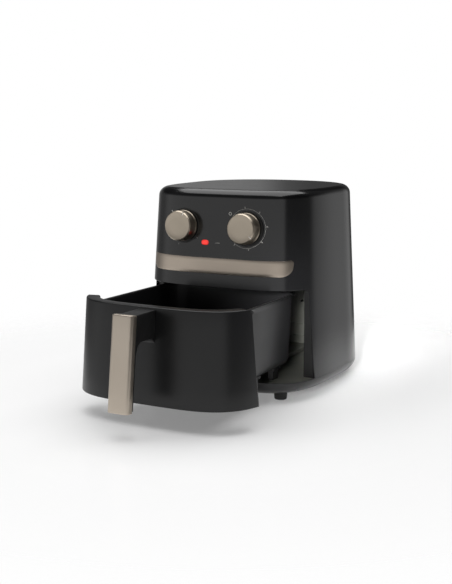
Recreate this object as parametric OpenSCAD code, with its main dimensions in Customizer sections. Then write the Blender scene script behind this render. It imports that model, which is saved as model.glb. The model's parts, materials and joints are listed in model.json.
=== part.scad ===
// Basket air fryer with two dials and a pull-out drawer, drawn with the drawer partly open.
// X is across the front, -Y is the front, Z is up.
// The origin is on the floor, in the middle of the four feet.

/* [Body] */
// Overall height, from the floor to the top cover; a deeper pan raises it
body_h = 310; // [255:1:375]
// Width of the body's plan at floor level
body_w = 295; // [245:1:355]
// Depth of the plan in front of its widest line, at floor level
body_front = 180; // [160:1:216]
// Depth of the plan behind its widest line, at floor level
body_back = 148; // [135:1:178]
// How squarely the front half of the plan bends round (2 is an ellipse)
front_square = 4; // [3.4:0.1:4.8]
// How squarely the back half of the plan bends round (2 is an ellipse)
back_square = 2.25; // [2.1:0.05:3]
// How far each side leans in, per mm of height
side_draft = 0.046; // [0.03:0.002:0.055]
// How far the front and back lean in, per mm of height
end_draft = 0.07; // [0.04:0.002:0.08]
// Thickness of the moulded walls
wall = 2.6; // [2.1:0.1:3.2]
// Radius of the edge between the sides and the top
top_r = 13; // [11:0.5:16]
// Radius of the edge under the base
base_r = 20; // [16:0.5:20]
// Height of the seam between base and shell, which is also the foot of the drawer opening
base_top = 32; // [31:0.5:38]
// How far inside the shell's outline the top cover starts
cover_inset = 9; // [7.5:0.5:10]

/* [Feet] */
// Height of the rubber feet
foot_h = 10; // [8.5:0.5:12]
// Radius of a foot
foot_r = 10; // [8:0.5:12]
// Distance of the front feet from the middle
foot_x_front = 94; // [78:1:100]
// Distance of the back feet from the middle
foot_x_back = 72; // [60:1:80]
// Distance of both pairs from the middle, front to back
foot_y = 116; // [100:1:120]

/* [Drawer] */
// How far the drawer is drawn out
drawer_out = 179; // [0:1:279]
// Height of the body above the drawer opening
head_h = 144; // [142:1:160]
// Shell left beside the opening at its top
jamb_w = 8.3; // [7:0.1:10]
// How far each side of the opening spreads, per mm down
opening_draft = 0.065; // [0.05:0.005:0.07]
// Radius of the opening's upper corners
opening_r = 6; // [4:0.5:10]
// Gap between the drawer front and the opening
drawer_gap = 0.8; // [0.6:0.1:1.2]
// Thickness of the drawer front, flange and all
front_t = 15; // [13:0.5:18]
// Skin thickness of the drawer front
front_skin = 3; // [2.5:0.1:3.5]
// Where the drawer front's ends stop, in front of the widest line
front_end = 110; // [104:1:112]
// Gap between the pan and the cavity on each side
pan_side_gap = 14; // [10:1:18]
// Depth of the pan below its rim
pan_depth = 108; // [90:1:130]
// Thickness of the pan's sheet
pan_t = 1; // [0.8:0.1:1.6]
// Corner radius of the pan
pan_r = 28; // [22:1:34]

/* [Cavity] */
// Half the width between the cavity's side walls, less than the opening by this much
cavity_step = 9.7; // [8:0.1:12]
// Rear wall of the cavity, behind the origin
cavity_back = 102; // [90:1:110]
// Thickness of the liner
liner_t = 2; // [1.5:0.1:2.5]
// Radius of the cavity's rear corners
liner_r = 42; // [36:1:50]

/* [Controls] */
// Height of the dials below the top of the body
dial_drop = 55; // [50:1:56]
// Distance of each dial from the middle
dial_x = 52.5; // [46:0.5:58]
// Radius of a dial's face
dial_r = 22.4; // [18.6:0.1:24]
// How far a dial stands out from the collar
dial_h = 20; // [16:0.5:24]
// Radius of the ring round a dial
collar_r = 26; // [25.5:0.2:29]
// Radius of the dial shafts
dial_shaft_r = 3; // [2.5:0.1:3.5]
// Indicator lamp's place left of the middle
lamp_x = -15.5; // [-18:0.5:-12]
// Indicator lamp below the dials
lamp_drop = 23; // [21:0.5:26]
// Height of the metal band across the front
band_h = 23.4; // [20:0.2:26]
// Lower edge of the band above the drawer opening
band_lift = 20.2; // [18:0.2:22]
// Half the length of the band
band_x = 117; // [100:1:118]

/* [Handle] */
// Width of the handle
handle_w = 32; // [28:0.5:36]
// Length of the handle's metal face
handle_l = 128.5; // [110:0.5:130]
// Depth of the metal cover over the grip
handle_cover_d = 13; // [11:0.5:15]
// Depth of the whole grip
handle_d = 21; // [19:0.5:24]
// How far the foot of the handle stands out from the drawer front
handle_reach = 67; // [60:0.5:75]
// Lean of the handle, in degrees
handle_lean = 6.7; // [4:0.1:8]

/* [Heater and fan] */
// Radius of the spinning axis' shaft
shaft_r = 3; // [2.5:0.1:4]
// Radius of the heater tube
element_r = 3.2; // [2.8:0.1:3.6]
// Gap between turns of the heater
element_pitch = 15; // [14.5:0.5:16]
// Radius of the air fan
fan_r = 62; // [50:1:64]
// Radius of the motor cooling fan
cooling_r = 40; // [32:1:44]
// Radius of the motor's rotor
rotor_r = 14; // [12:0.5:15]

/* [Small fits] */
// Running clearance of a shaft in its bush
run_gap = 0.05; // [0.02:0.01:0.1]
// Gap between pieces that sit in one another
seat_gap = 0.3; // [0.2:0.05:0.4]

/* [Hidden] */
$fn = 48;

plan_y = 14;                            // the widest line lies behind the middle of the feet
plan_n = 72;                            // points round the body's plan
platform_h = 6;                         // raised middle of the cavity floor
pan_under = 12;                         // from the platform to the pan's bottom
rim_drop = 8;                           // from the top of the opening to the pan's rim
// height of the body: what is asked for, or what the pan needs
top_z = max(body_h, base_top + platform_h + pan_under + pan_depth + rim_drop + head_h);
opening_top = top_z - head_h;
opening_hw = body_w / 2 - side_draft * opening_top - jamb_w;
cavity_hw = opening_hw - cavity_step;
cavity_front = plan_y - front_end + 0.5;
floor_t = 2.6;
platform_hw = 48;
deck_z = opening_top + 2;
deck_t = 2.5;
over = 1;                               // how far a cut runs past a face

front_lean = atan(end_draft);
dial_z = top_z - dial_drop;
dial_y = front_y(dial_x, dial_z);
collar_sink = 6;                        // the collar's disc passes through the front wall
collar_rise = 0.8;
bracket_back = 13;                      // front wall to the bracket's face
bracket_t = 1.5;
bracket_hw = 78;
bracket_hz = 28;
boss_x = 70;
boss_y = 24.5;
boss_r = 4;
unit_d = 30;                            // depth of the timer and thermostat bodies
unit_hw = 21;
lug_hw = 2.4;                           // half the width of a terminal
shaft_back = bracket_back + bracket_t + 24;
shaft_front = 14;
screw_r = 1.5;
lens_hw = 6;
lens_hz = 3.5;

pan_hw = cavity_hw - pan_side_gap;
pan_front = plan_y - body_front + end_draft * opening_top + front_t + 12;
pan_back = cavity_back - 9;
rim_z = opening_top - rim_drop;
rim_w = 4;
pan_bottom = rim_z - pan_depth;
pan_draft = 5;
plate_z = pan_bottom + 12;
plate_t = 1.5;
plate_gap = 5;

handle_foot_z = base_top + 4.8;
handle_foot_y = front_y(0, handle_foot_z) - handle_reach;
cover_t = 1.5;
arm_hw = 13;
arm_top = handle_foot_z + handle_l * cos(handle_lean) - 2.4;
arm_under = arm_top - 37;
arm_fillet = 13;

axis_y = (pan_front + pan_back) / 2;    // fan and heater stand over the middle of the pan
shroud_r = min(cavity_hw - 22, cavity_back - axis_y - 19);
shroud_h = 38;
shroud_t = 1;
shroud_top = deck_z + deck_t + shroud_h;
element_z = deck_z + 11;
element_run_z = element_z + 2 * element_r + 0.8;   // where its inner end crosses the turns
guard_z = deck_z + 4;
fan_z = element_run_z + element_r + 1.3;
fan_blade_h = 12;
cooling_z = shroud_top + 18;             // over the heater's terminals
mount_z = shroud_top + 36;
stator_z = mount_z + 8;
stator_h = 18;
vent_z0 = opening_top + 20;
vent_h = 62;
vent_hw = 55;
inlet_z = base_top + 20;
inlet_r = 8.5;
cord_r = 3.75;
switch_x = 29;
lead_y = cavity_back + liner_t + 22;     // leads rise behind the cavity
switch_z = opening_top - 56;

function sign_pow(v, p) = sign(v) * pow(abs(v), p);
function half_w(z) = body_w / 2 - side_draft * z;
function front_d(z) = body_front - end_draft * z;
function back_d(z) = body_back - end_draft * z;

// Front surface at x and z, moved in by inset
function front_y(x, z, inset = 0) =
    plan_y - (front_d(z) - inset)
    * pow(1 - pow(abs(x) / (half_w(z) - inset), front_square), 1 / front_square);

// One level of the body's plan, moved in by inset
function plan_ring(z, inset) = [
    for (i = [0 : plan_n - 1])
        let (t = 360 * i / plan_n,
             n = sin(t) < 0 ? front_square : back_square,
             d = sin(t) < 0 ? front_d(z) : back_d(z))
        [(half_w(z) - inset) * sign_pow(cos(t), 2 / n),
         plan_y + (d - inset) * sign_pow(sin(t), 2 / n), z]
];

// A rectangle with round corners, hw either side of x = 0, at height z
function pan_ring(hw, y0, y1, r, z) = [
    for (q = [0 : 3])
        for (a = [0 : 15 : 90])
            let (cx = (q == 0 || q == 3) ? hw - r : r - hw,
                 cy = (q < 2) ? y1 - r : y0 + r)
            [cx + r * cos(90 * q + a), cy + r * sin(90 * q + a), z]
];

// An arc of points, for outlines
function arc(cx, cy, r, a0, a1, n = 8) = [
    for (i = [0 : n]) let (a = a0 + (a1 - a0) * i / n) [cx + r * cos(a), cy + r * sin(a)]
];

// Levels [z, inset] of an edge that turns in over radius r, up to height z
function turn_in_top(z, r, inset) = [
    for (a = [15 : 15 : 90]) [z - r + r * sin(a), inset + r - r * cos(a)]
];
// and of one that turns out from the height z of an underside
function turn_out_bottom(z, r, inset) = [
    for (a = [0 : 15 : 75]) [z + r - r * cos(a), inset + r - r * sin(a)]
];

// Drawer opening seen from the front, made smaller by gap
function opening_points(gap) =
    let (hw = opening_hw - gap, top = opening_top - gap, foot = base_top + gap,
         spread = opening_draft * (opening_top - base_top))
    concat([[-hw - spread, foot], [hw + spread, foot]],
           arc(hw - opening_r, top - opening_r, opening_r, 0, 90),
           arc(opening_r - hw, top - opening_r, opening_r, 90, 180));

// Solid through rings of equal length, lowest first
module loft(rings) {
    n = len(rings[0]);
    m = len(rings);
    sides = [
        for (k = [0 : m - 2], i = [0 : n - 1], half = [0, 1])
            let (j = (i + 1) % n, a = k * n, b = a + n)
            half == 0 ? [a + i, b + i, b + j] : [a + i, b + j, a + j]
    ];
    caps = [[for (i = [0 : n - 1]) i], [for (i = [n - 1 : -1 : 0]) (m - 1) * n + i]];
    polyhedron([for (r = rings) each r], concat(sides, caps));
}

module body_solid(levels) {
    loft([for (l = levels) plan_ring(l[0], l[1])]);
}

// Straight-sided slice of the body between two heights
module body_slice(z0, z1, inset) {
    body_solid([[z0, inset], [z1, inset]]);
}

// Runs an outline drawn in X and Z from y0 to y1
module along_y(y0, y1) {
    translate([0, y1, 0])
        rotate([90, 0, 0])
            linear_extrude(y1 - y0)
                children();
}

module box(x0, x1, y0, y1, z0, z1) {
    translate([x0, y0, z0])
        cube([x1 - x0, y1 - y0, z1 - z0]);
}

module post(x, y, z0, z1, r) {
    translate([x, y, z0])
        cylinder(h = z1 - z0, r = r);
}

module tube(z0, z1, r_out, r_in) {
    difference() {
        post(0, 0, z0, z1, r_out);
        post(0, 0, z0 - over, z1 + over, r_in);
    }
}

// A dial's own frame: z points out of the front face, y up it
module at_dial(x) {
    translate([x, dial_y, dial_z])
        rotate([90 - front_lean, 0, 0])
            children();
}

module at_lamp() {
    translate([lamp_x, front_y(lamp_x, dial_z - lamp_drop), dial_z - lamp_drop])
        rotate([90 - front_lean, 0, 0])
            children();
}

module at_drawer() {
    translate([0, -drawer_out, 0])
        children();
}

module at_handle() {
    at_drawer()
        translate([0, handle_foot_y, handle_foot_z])
            rotate([-handle_lean, 0, 0])
                children();
}

module at_axis() {
    translate([0, axis_y, 0])
        children();
}

// Rounded bar through a wall, for the lamp
module lens_bar(hw, r, z0, z1) {
    for (s = [-1, 1])
        post(s * (hw - r), 0, z0, z1, r);
    box(r - hw, hw - r, -r, r, z0, z1);
}

// Outline of the band: small radius on top, large below
module band_outline(grow) {
    z0 = opening_top + band_lift - grow;
    z1 = z0 + band_h + 2 * grow;
    hx = band_x + grow;
    polygon(concat(arc(hx - 14, z0 + 14, 14, -90, 0),
                   arc(hx - 3, z1 - 3, 3, 0, 90, 4),
                   arc(3 - hx, z1 - 3, 3, 90, 180, 4),
                   arc(14 - hx, z0 + 14, 14, 180, 270)));
}

module outer_shell() {
    color("#1c1c1d")
    difference() {
        union() {
            difference() {
                body_solid(concat([[base_top, 0], [top_z - top_r, 0]],
                                  turn_in_top(top_z, top_r, 0)));
                body_solid(concat([[base_top - over, wall], [top_z - top_r, wall]],
                                  turn_in_top(top_z - wall, top_r - wall, wall)));
                body_slice(top_z - top_r, top_z + over, cover_inset);
                // seat of the band
                difference() {
                    along_y(-300, 0)
                        band_outline(seat_gap);
                    body_slice(opening_top, top_z - top_r, 1);
                }
            }
            // bosses for the control bracket
            intersection() {
                at_dial(0)
                    for (sx = [-1, 1], sy = [-1, 1])
                        post(sx * boss_x, sy * boss_y, -bracket_back, 6, boss_r);
                body_slice(opening_top, top_z - top_r, wall / 2);
            }
        }
        // drawer opening
        along_y(-300, cavity_front)
            polygon(opening_points(0));
        box(-opening_hw, opening_hw, -300, cavity_front, base_top - over, base_top + over);
        // dials and lamp
        for (s = [-1, 1])
            at_dial(s * dial_x) {
                post(0, 0, -collar_sink, 9, collar_r + seat_gap);
                post(0, 0, -9, 9, dial_shaft_r + 2);
            }
        at_lamp()
            lens_bar(lens_hw + seat_gap, lens_hz + seat_gap, -6, 6);
        for (sx = [-1, 1], sy = [-1, 1])
            at_dial(0)
                post(sx * boss_x, sy * boss_y, -bracket_back - over, -7, screw_r + 0.1);
        // vent and cord
        box(-vent_hw, vent_hw, plan_y, 300, vent_z0, vent_z0 + vent_h);
        translate([0, plan_y + body_back, inlet_z])
            rotate([90, 0, 0])
                cylinder(h = 60, r = inlet_r + 0.1, center = true);
        // flat seat for the bush's flange
        translate([0, plan_y + back_d(inlet_z), inlet_z])
            rotate([-90, 0, 0])
                post(0, 0, 0, 6, inlet_r + 2.5 + seat_gap);
    }
}

module top_cover() {
    color("#222223")
    difference() {
        body_solid([[top_z - 9, cover_inset + seat_gap], [top_z - 1.2, cover_inset + seat_gap],
                    [top_z - 0.4, cover_inset + 1], [top_z, cover_inset + 4]]);
        body_slice(top_z - 9 - over, top_z - 2.8, cover_inset + seat_gap + 2.2);
    }
}

module base_tray() {
    color("#222222")
    difference() {
        body_solid(concat(turn_out_bottom(foot_h, base_r, 0),
                          [[foot_h + base_r, 0], [base_top - 0.2, 0]]));
        body_solid(concat(turn_out_bottom(foot_h + wall, base_r - wall, wall),
                          [[foot_h + base_r, wall], [base_top + over, wall]]));
        // air inlets under the fan's axis, and the screw holes
        for (s = [-1, 1], i = [0 : 4])
            box(s * 45 - 25, s * 45 + 25, 12 * i - 2.5, 12 * i + 2.5, 0, foot_h + 9);
        at_base_screws()
            post(0, 0, 0, foot_h + 9, screw_r + 0.1);
    }
}

module at_base_screws() {
    for (s = [-1, 1], p = [[44, 122], [104, 20], [52, -124]])
        translate([s * p[0], p[1], 0])
            children();
}

module base_screws() {
    color("#8c8c8c")
    at_base_screws() {
        post(0, 0, foot_h - 1.6, foot_h, 3);
        post(0, 0, foot_h, base_top - floor_t - seat_gap, screw_r);
    }
}

module rubber_feet() {
    color("#151515")
    for (s = [-1, 1], p = [[foot_x_front, -foot_y], [foot_x_back, foot_y]])
        translate([s * p[0], p[1], 0])
            rotate_extrude()
                polygon([[0, 0], [foot_r - 1.5, 0], [foot_r - 0.4, 1.2], [foot_r, foot_h], [0, foot_h]]);
}

module cavity_floor() {
    color("#2a2a2a")
    difference() {
        union() {
            body_slice(base_top - floor_t, base_top, wall + seat_gap);
            box(-platform_hw, platform_hw, plan_y - body_front + 40, cavity_back - 1,
                base_top - 1, base_top + platform_h);
        }
        // underside of the platform
        box(2.6 - platform_hw, platform_hw - 2.6, plan_y - body_front + 42.6, cavity_back - 3.6,
            base_top - floor_t - over, base_top + platform_h - 2.6);
    }
}

// The cavity's plan: square in front, with round rear corners
module cavity_plan(grow, ahead = 0) {
    hw = cavity_hw + grow;
    r = liner_r + grow;
    y1 = cavity_back + grow;
    polygon(concat([[-hw, cavity_front - ahead], [hw, cavity_front - ahead]],
                   arc(hw - r, y1 - r, r, 0, 90), arc(r - hw, y1 - r, r, 90, 180)));
}

module cavity_liner() {
    top = deck_z - seat_gap;
    color("#30312f")
    union() {
        difference() {
            translate([0, 0, base_top])
                linear_extrude(top - base_top)
                    cavity_plan(liner_t);
            translate([0, 0, base_top - over])
                linear_extrude(top - base_top + 2 * over)
                    cavity_plan(0, over);
            // two shallow grooves across the rear wall
            for (z = [base_top + 19, base_top + 39])
                box(liner_r - cavity_hw, cavity_hw - liner_r, cavity_back - over,
                    cavity_back + 0.8, z - 0.8, z + 0.8);
            // hole for the safety switch's plunger
            translate([switch_x, cavity_back, switch_z])
                rotate([90, 0, 0])
                    cylinder(h = 20, r = 2.6, center = true);
        }
        // flange behind the drawer front's ends
        intersection() {
            body_slice(base_top, top, wall + seat_gap);
            for (s = [-1, 1])
                translate([s * (cavity_hw + 20), cavity_front + 1, (base_top + top) / 2])
                    cube([40, 2, top - base_top], center = true);
        }
    }
}

module chamber_deck() {
    color("#262626")
    difference() {
        body_slice(deck_z, deck_z + deck_t, wall + seat_gap);
        at_axis()
            post(0, 0, deck_z - over, deck_z + deck_t + over, shroud_r + 1);
        // warm air rises behind the cavity
        for (s = [-1, 1])
            box(s * 40 - 26, s * 40 + 26, lead_y - 8, lead_y + 3, 0, top_z);
    }
}

module trim_band() {
    color("#a89d90")
    intersection() {
        difference() {
            body_slice(opening_top, top_z - top_r, -0.4);
            body_slice(opening_top - over, top_z - top_r + over, 1);
        }
        along_y(-300, 0)
            band_outline(0);
    }
}

module indicator_lens() {
    color("#e04040")
    at_lamp() {
        lens_bar(lens_hw, lens_hz, -4, 0.6);
        lens_bar(lens_hw + 1.5, lens_hz + 1.5, -6.5, -4);
    }
}

module indicator_lamp() {
    color("#d9c9a0")
    at_lamp()
        difference() {
            union() {
                post(0, 0, -12, -6.5, 3);
                post(0, 0, -24, -12, 4.5);
            }
            for (s = [-1, 1])
                post(s * 2, 0, -25, -20, 0.6);
        }
}

module rear_vent_grille() {
    color("#1b1b1b")
    intersection() {
        difference() {
            body_slice(vent_z0 - 10, vent_z0 + vent_h + 10, 0.8);
            body_slice(vent_z0 - 11, vent_z0 + vent_h + 11, wall + 0.8);
            for (z = [vent_z0 + 6 : 7 : vent_z0 + vent_h - 8], s = [-1, 0, 1])
                box(s * 34 - 15, s * 34 + 15, plan_y, 300, z, z + 3);
        }
        box(seat_gap - vent_hw, vent_hw - seat_gap, plan_y, 300,
            vent_z0 + seat_gap, vent_z0 + vent_h - seat_gap);
    }
}

module cord_inlet() {
    back = plan_y + back_d(inlet_z);
    color("#141414")
    translate([0, back, inlet_z])
        rotate([-90, 0, 0])
            difference() {
                union() {
                    post(0, 0, -10, 0.3, inlet_r);
                    post(0, 0, 0.1, 2.6, inlet_r + 2.5);
                    post(0, 0, -wall - 3.6, -wall - 1.4, inlet_r + 1.5);
                }
                post(0, 0, -10 - over, 2.6 + over, cord_r);
            }
}

module dial_collar() {
    difference() {
        post(0, 0, -collar_sink, collar_rise, collar_r);
        post(0, 0, -collar_sink - over, collar_rise + over, dial_shaft_r + 2);
        post(0, 0, 0, collar_rise + over, collar_r - 2);
    }
}

module timer_collar() {
    color("#1a1a1a")
    at_dial(dial_x)
        dial_collar();
}

module temperature_collar() {
    color("#1a1a1a")
    at_dial(-dial_x)
        dial_collar();
}

module control_bracket() {
    color("#b8bab8")
    at_dial(0)
        difference() {
            union() {
                box(-bracket_hw, bracket_hw, -bracket_hz, bracket_hz,
                    -bracket_back - bracket_t, -bracket_back);
                // stiffening flange along the lower edge
                box(-bracket_hw, bracket_hw, -bracket_hz - bracket_t, -bracket_hz,
                    -bracket_back - 9, -bracket_back);
            }
            for (s = [-1, 1])
                post(s * dial_x, 0, -30, 0, dial_shaft_r + 2);
            for (sx = [-1, 1], sy = [-1, 1])
                post(sx * boss_x, sy * boss_y, -30, 0, screw_r + 0.2);
            box(lamp_x - 10, lamp_x + 10, -bracket_hz - 3, -lamp_drop + 8, -30, 0);
        }
}

module bracket_screws() {
    color("#9a9a9a")
    at_dial(0)
        for (sx = [-1, 1], sy = [-1, 1]) {
            post(sx * boss_x, sy * boss_y, -bracket_back - bracket_t - 1.8, -bracket_back - bracket_t, 3);
            post(sx * boss_x, sy * boss_y, -bracket_back - bracket_t, -8, screw_r);
        }
}

// Body of a dial's mechanism, with a bush for its shaft
module dial_unit(hw, depth) {
    z1 = -bracket_back - bracket_t;
    difference() {
        union() {
            box(-hw, hw, -hw, hw, z1 - depth, z1);
            post(0, 0, z1, z1 + 3.5, dial_shaft_r + 1.7);
            for (s = [-1, 1])
                box(s * (hw - lug_hw) - lug_hw, s * (hw - lug_hw) + lug_hw, -0.4, 0.4,
                    z1 - depth - 7, z1 - depth);
        }
        post(0, 0, z1 - 26, z1 + 5, dial_shaft_r + run_gap);
    }
}

module timer_unit() {
    color("#c9c4b4")
    at_dial(dial_x)
        dial_unit(unit_hw, unit_d);
}

module thermostat_unit() {
    color("#d8d5cc")
    at_dial(-dial_x)
        dial_unit(unit_hw - 5, unit_d - 2);
}

// Bell that the timer strikes when it runs out
module timer_bell() {
    z0 = -bracket_back - bracket_t - unit_d - 12;
    color("#c0c2c4")
    at_dial(dial_x)
        translate([0, 0, z0])
            union() {
                rotate_extrude()
                    polygon(concat(arc(0, -8, 20, 20, 90), arc(0, -8, 18.8, 90, 20)));
                post(0, 0, 11, 12, 4);
            }
}

module dial_shaft() {
    difference() {
        post(0, 0, -shaft_back, shaft_front, dial_shaft_r);
        // flat that the knob keys on
        box(dial_shaft_r - 0.9, dial_shaft_r + over, -5, 5, 4, shaft_front + over);
    }
}

module timer_shaft() {
    color("#b0b0b0")
    at_dial(dial_x)
        dial_shaft();
}

module thermostat_shaft() {
    color("#b0b0b0")
    at_dial(-dial_x)
        dial_shaft();
}

// Metal-faced knob; its pointer notch lies at the angle turn
module knob(turn) {
    z0 = collar_rise + 0.6;
    z1 = collar_rise + dial_h;
    difference() {
        rotate_extrude($fn = 96)
            polygon([[0, z0], [dial_r + 0.6, z0], [dial_r + 0.6, z0 + 3], [dial_r, z0 + 3.4],
                     [dial_r - 0.4, z1 - 1.4], [dial_r - 1.4, z1], [0, z1]]);
        post(0, 0, z0 - over, shaft_front + 0.4, dial_shaft_r + run_gap);
        post(0, 0, z0 - over, z0 + 9, 11);
        rotate([0, 0, turn])
            box(dial_r - 5.5, dial_r + over, -1, 1, z1 - 0.6, z1 + over);
    }
}

timer_turn = -36;                       // half way round the scale
temperature_turn = 65;

module timer_knob() {
    color("#a89d90")
    at_dial(dial_x)
        knob(timer_turn);
}

module temperature_knob() {
    color("#a89d90")
    at_dial(-dial_x)
        knob(temperature_turn);
}

// Sensing bulb in the heat and its capillary up to the thermostat
module thermostat_probe() {
    bx = -shroud_r + 12;
    top = [-dial_x, dial_y + bracket_back + bracket_t + unit_d + 4, dial_z - 6];
    color("#c08a58")
    union() {
        translate([bx, axis_y - 20, guard_z + 7])
            rotate([-90, 0, 0])
                cylinder(h = 40, r = 1.8);
        wire([[bx, axis_y - 20, guard_z + 7], [bx, axis_y - 24, guard_z + 7],
              [bx, axis_y - 24, shroud_top + 12], [top[0] - 6, top[1] + 12, shroud_top + 16],
              [top[0] - 6, top[1] + 12, top[2]], [top[0], top[1] - 1, top[2]]], 0.8);
    }
}

function unit(v) = v / norm(v);

// Direction of a route of points at point i
function heading(p, i) =
    unit((i > 0 ? unit(p[i] - p[i - 1]) : [0, 0, 0])
         + (i < len(p) - 1 ? unit(p[i + 1] - p[i]) : [0, 0, 0]));

wire_side = [1, 0.37, 0.21];            // lies along none of the routes

// Round wire swept through points
module wire(points, r) {
    loft([
        for (i = [0 : len(points) - 1])
            let (t = heading(points, i), u = unit(cross(t, wire_side)), v = cross(t, u))
            [for (a = [0 : 45 : 315]) points[i] + r * (cos(a) * u + sin(a) * v)]
    ]);
}

module heat_shroud() {
    color("#c4c6c4")
    at_axis()
        difference() {
            union() {
                tube(guard_z - 6, shroud_top, shroud_r, shroud_r - shroud_t);
                post(0, 0, shroud_top - shroud_t, shroud_top, shroud_r);
                tube(deck_z + deck_t, deck_z + deck_t + shroud_t, shroud_r + 8, shroud_r - shroud_t);
            }
            post(0, 0, 0, top_z, shaft_r + 3);
            for (p = element_ends())
                post(p[0], p[1], shroud_top - 5, top_z, element_r + 1);
            // capillary
            post(12 - shroud_r, -24, shroud_top - 5, top_z, 1.6);
        }
}

element_in = 34;                        // radius of the innermost turn
element_turns = 3;

// Where the heater's two ends rise, both outside the fan
function element_ends() =
    [[fan_r + element_r + 2.3, 0], [element_in + element_turns * element_pitch, 0]];

// Bulge where two lengths of the heater are joined
module element_joint(x, z) {
    translate([x, 0, z])
        sphere(r = element_r + 0.3, $fn = 20);
}

module heating_element() {
    p = element_pitch;
    color("#3a3836")
    at_axis()
        union() {
            // half turns about two centres make an even spiral
            for (i = [0 : 2 * element_turns - 1])
                let (r = element_in + i * p / 2 + p / 4, c = i % 2 == 0 ? -p / 4 : p / 4)
                translate([c, 0, element_z])
                    rotate([0, 0, i % 2 == 0 ? 0 : 180])
                        rotate_extrude(angle = 180, $fn = 96)
                            translate([r, 0])
                                circle(r = element_r, $fn = 20);
            // the inner end steps up and crosses over the turns
            element_joint(element_in, element_z);
            element_joint(element_in, element_run_z);
            element_joint(element_ends()[0][0], element_run_z);
            element_joint(element_ends()[1][0], element_z);
            post(element_in, 0, element_z, element_run_z, element_r);
            translate([element_in, 0, element_run_z])
                rotate([0, 90, 0])
                    cylinder(h = element_ends()[0][0] - element_in, r = element_r);
            for (i = [0, 1]) {
                x = element_ends()[i][0];
                z0 = i == 0 ? element_run_z : element_z;
                post(x, 0, z0, shroud_top + 8, element_r);
                post(x, 0, z0, shroud_top + 16, 1.4);
            }
        }
}

// Three hangers that hold the spiral under the shroud
module element_clips() {
    z1 = shroud_top - shroud_t;
    color("#9b9c9a")
    at_axis()
        for (a = [90, 210, 330])
            rotate([0, 0, a])
                difference() {
                    union() {
                        box(element_in - 6, shroud_r - shroud_t - 0.2, -4, 4,
                            element_z - element_r - 1, element_z - element_r);
                        box(shroud_r - shroud_t - 6, shroud_r - shroud_t - 5, -4, 4,
                            element_z - element_r - 1, z1 - 0.05);
                    }
                    box(shroud_r - 4, shroud_r + 4, -5, 5, element_z - 20, element_z);
                }
}

module element_guard() {
    color("#aeb0b0")
    at_axis()
        union() {
            for (r = [22 : 18 : shroud_r - 6])
                tube(guard_z - 1, guard_z + 1, r + 1, r - 1);
            for (a = [30 : 60 : 150])
                rotate([0, 0, a])
                    box(0.3 + shroud_t - shroud_r, shroud_r - shroud_t - 0.3,
                        -1, 1, guard_z - 1, guard_z + 1);
        }
}

// Radial fan: blades on a disc round a hub
module fan(r, hub_r, z, blade_h, blades, t) {
    difference() {
        union() {
            post(0, 0, z, z + blade_h, hub_r);
            post(0, 0, z + blade_h - t, z + blade_h, r);
            for (i = [0 : blades - 1])
                rotate([0, 0, 360 * i / blades])
                    translate([hub_r - 1, -t / 2, z])
                        rotate([0, 0, 12])
                            cube([r - hub_r - 4, t, blade_h]);
        }
        post(0, 0, z - over, z + blade_h + over, shaft_r + 0.02);
    }
}

module convection_fan() {
    color("#b5b7b9")
    at_axis()
        fan(fan_r, 8, fan_z, fan_blade_h, 10, 1);
}

module fan_nut() {
    color("#8f8f8f")
    at_axis()
        difference() {
            post(0, 0, fan_z - 5.2, fan_z - 0.2, 5.5, $fn = 6);
            post(0, 0, 0, top_z, shaft_r + 0.02);
        }
}

module motor_shaft() {
    color("#b8b8b8")
    at_axis()
        post(0, 0, fan_z - 7, stator_z + stator_h + 14, shaft_r);
}

module cooling_fan() {
    color("#3c3c3c")
    at_axis()
        fan(cooling_r, 8, cooling_z, 14, 12, 1.2);
}

module motor_rotor() {
    color("#8a8d90")
    at_axis()
        difference() {
            post(0, 0, stator_z - 2, stator_z + stator_h + 2, rotor_r);
            post(0, 0, 0, top_z, shaft_r + 0.02);
        }
}

module motor_stator() {
    color("#6f7275")
    at_axis()
        difference() {
            box(-32, 32, -24, 58, stator_z, stator_z + stator_h);
            post(0, 0, 0, top_z, rotor_r + 0.4);
            box(-18, 18, 24, 46, 0, top_z);
            for (s = [-1, 1])
                post(s * 26, -18, 0, top_z, 2);
            for (s = [-1, 1])
                post(s * 26, 18, 0, top_z, 2);
        }
}

// Winding on the stator's far leg
module motor_coil() {
    color("#b3592b")
    at_axis()
        difference() {
            box(-16, 16, 38, 66, stator_z - 8, stator_z + stator_h + 8);
            box(-17, 17, 46 - 0.2, 58 + 0.2, stator_z - 0.2, stator_z + stator_h + 0.2);
        }
}

// Straps across the stator with the shaft's bearings
module motor_brackets() {
    color("#a9abad")
    at_axis()
        for (z = [stator_z - 6, stator_z + stator_h + 4])
            difference() {
                union() {
                    box(-30, 30, -7, 7, z, z + 2);
                    post(0, 0, z - 1.5, z + 3.5, 8);
                    for (s = [-1, 1])
                        box(s * 26 - 5, s * 26 + 5, -22, 22, z, z + 2);
                }
                post(0, 0, 0, top_z, shaft_r + run_gap);
                for (sx = [-1, 1], sy = [-1, 1])
                    post(sx * 26, sy * 18, 0, top_z, 2);
            }
}

// Bridge that carries the motor over the shroud
module motor_mount() {
    color("#c4c6c4")
    at_axis()
        difference() {
            union() {
                box(-60, 60, -26, 26, mount_z - 1.5, mount_z);
                for (s = [-1, 1]) {
                    box(s * 59.25 - 0.75, s * 59.25 + 0.75, -26, 26, shroud_top + 1, mount_z);
                    box(s * 65 - 6.5, s * 65 + 6.5, -26, 26, shroud_top, shroud_top + 1.5);
                }
            }
            post(0, 0, 0, top_z, 12);
            for (sx = [-1, 1], sy = [-1, 1]) {
                post(sx * 26, sy * 18, 0, top_z, 2);
                post(sx * 67, sy * 18, 0, top_z, 2);
            }
            // the heater's terminal comes up through the foot
            post(element_ends()[0][0], 0, 0, top_z, element_r + 1.6);
        }
}

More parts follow.
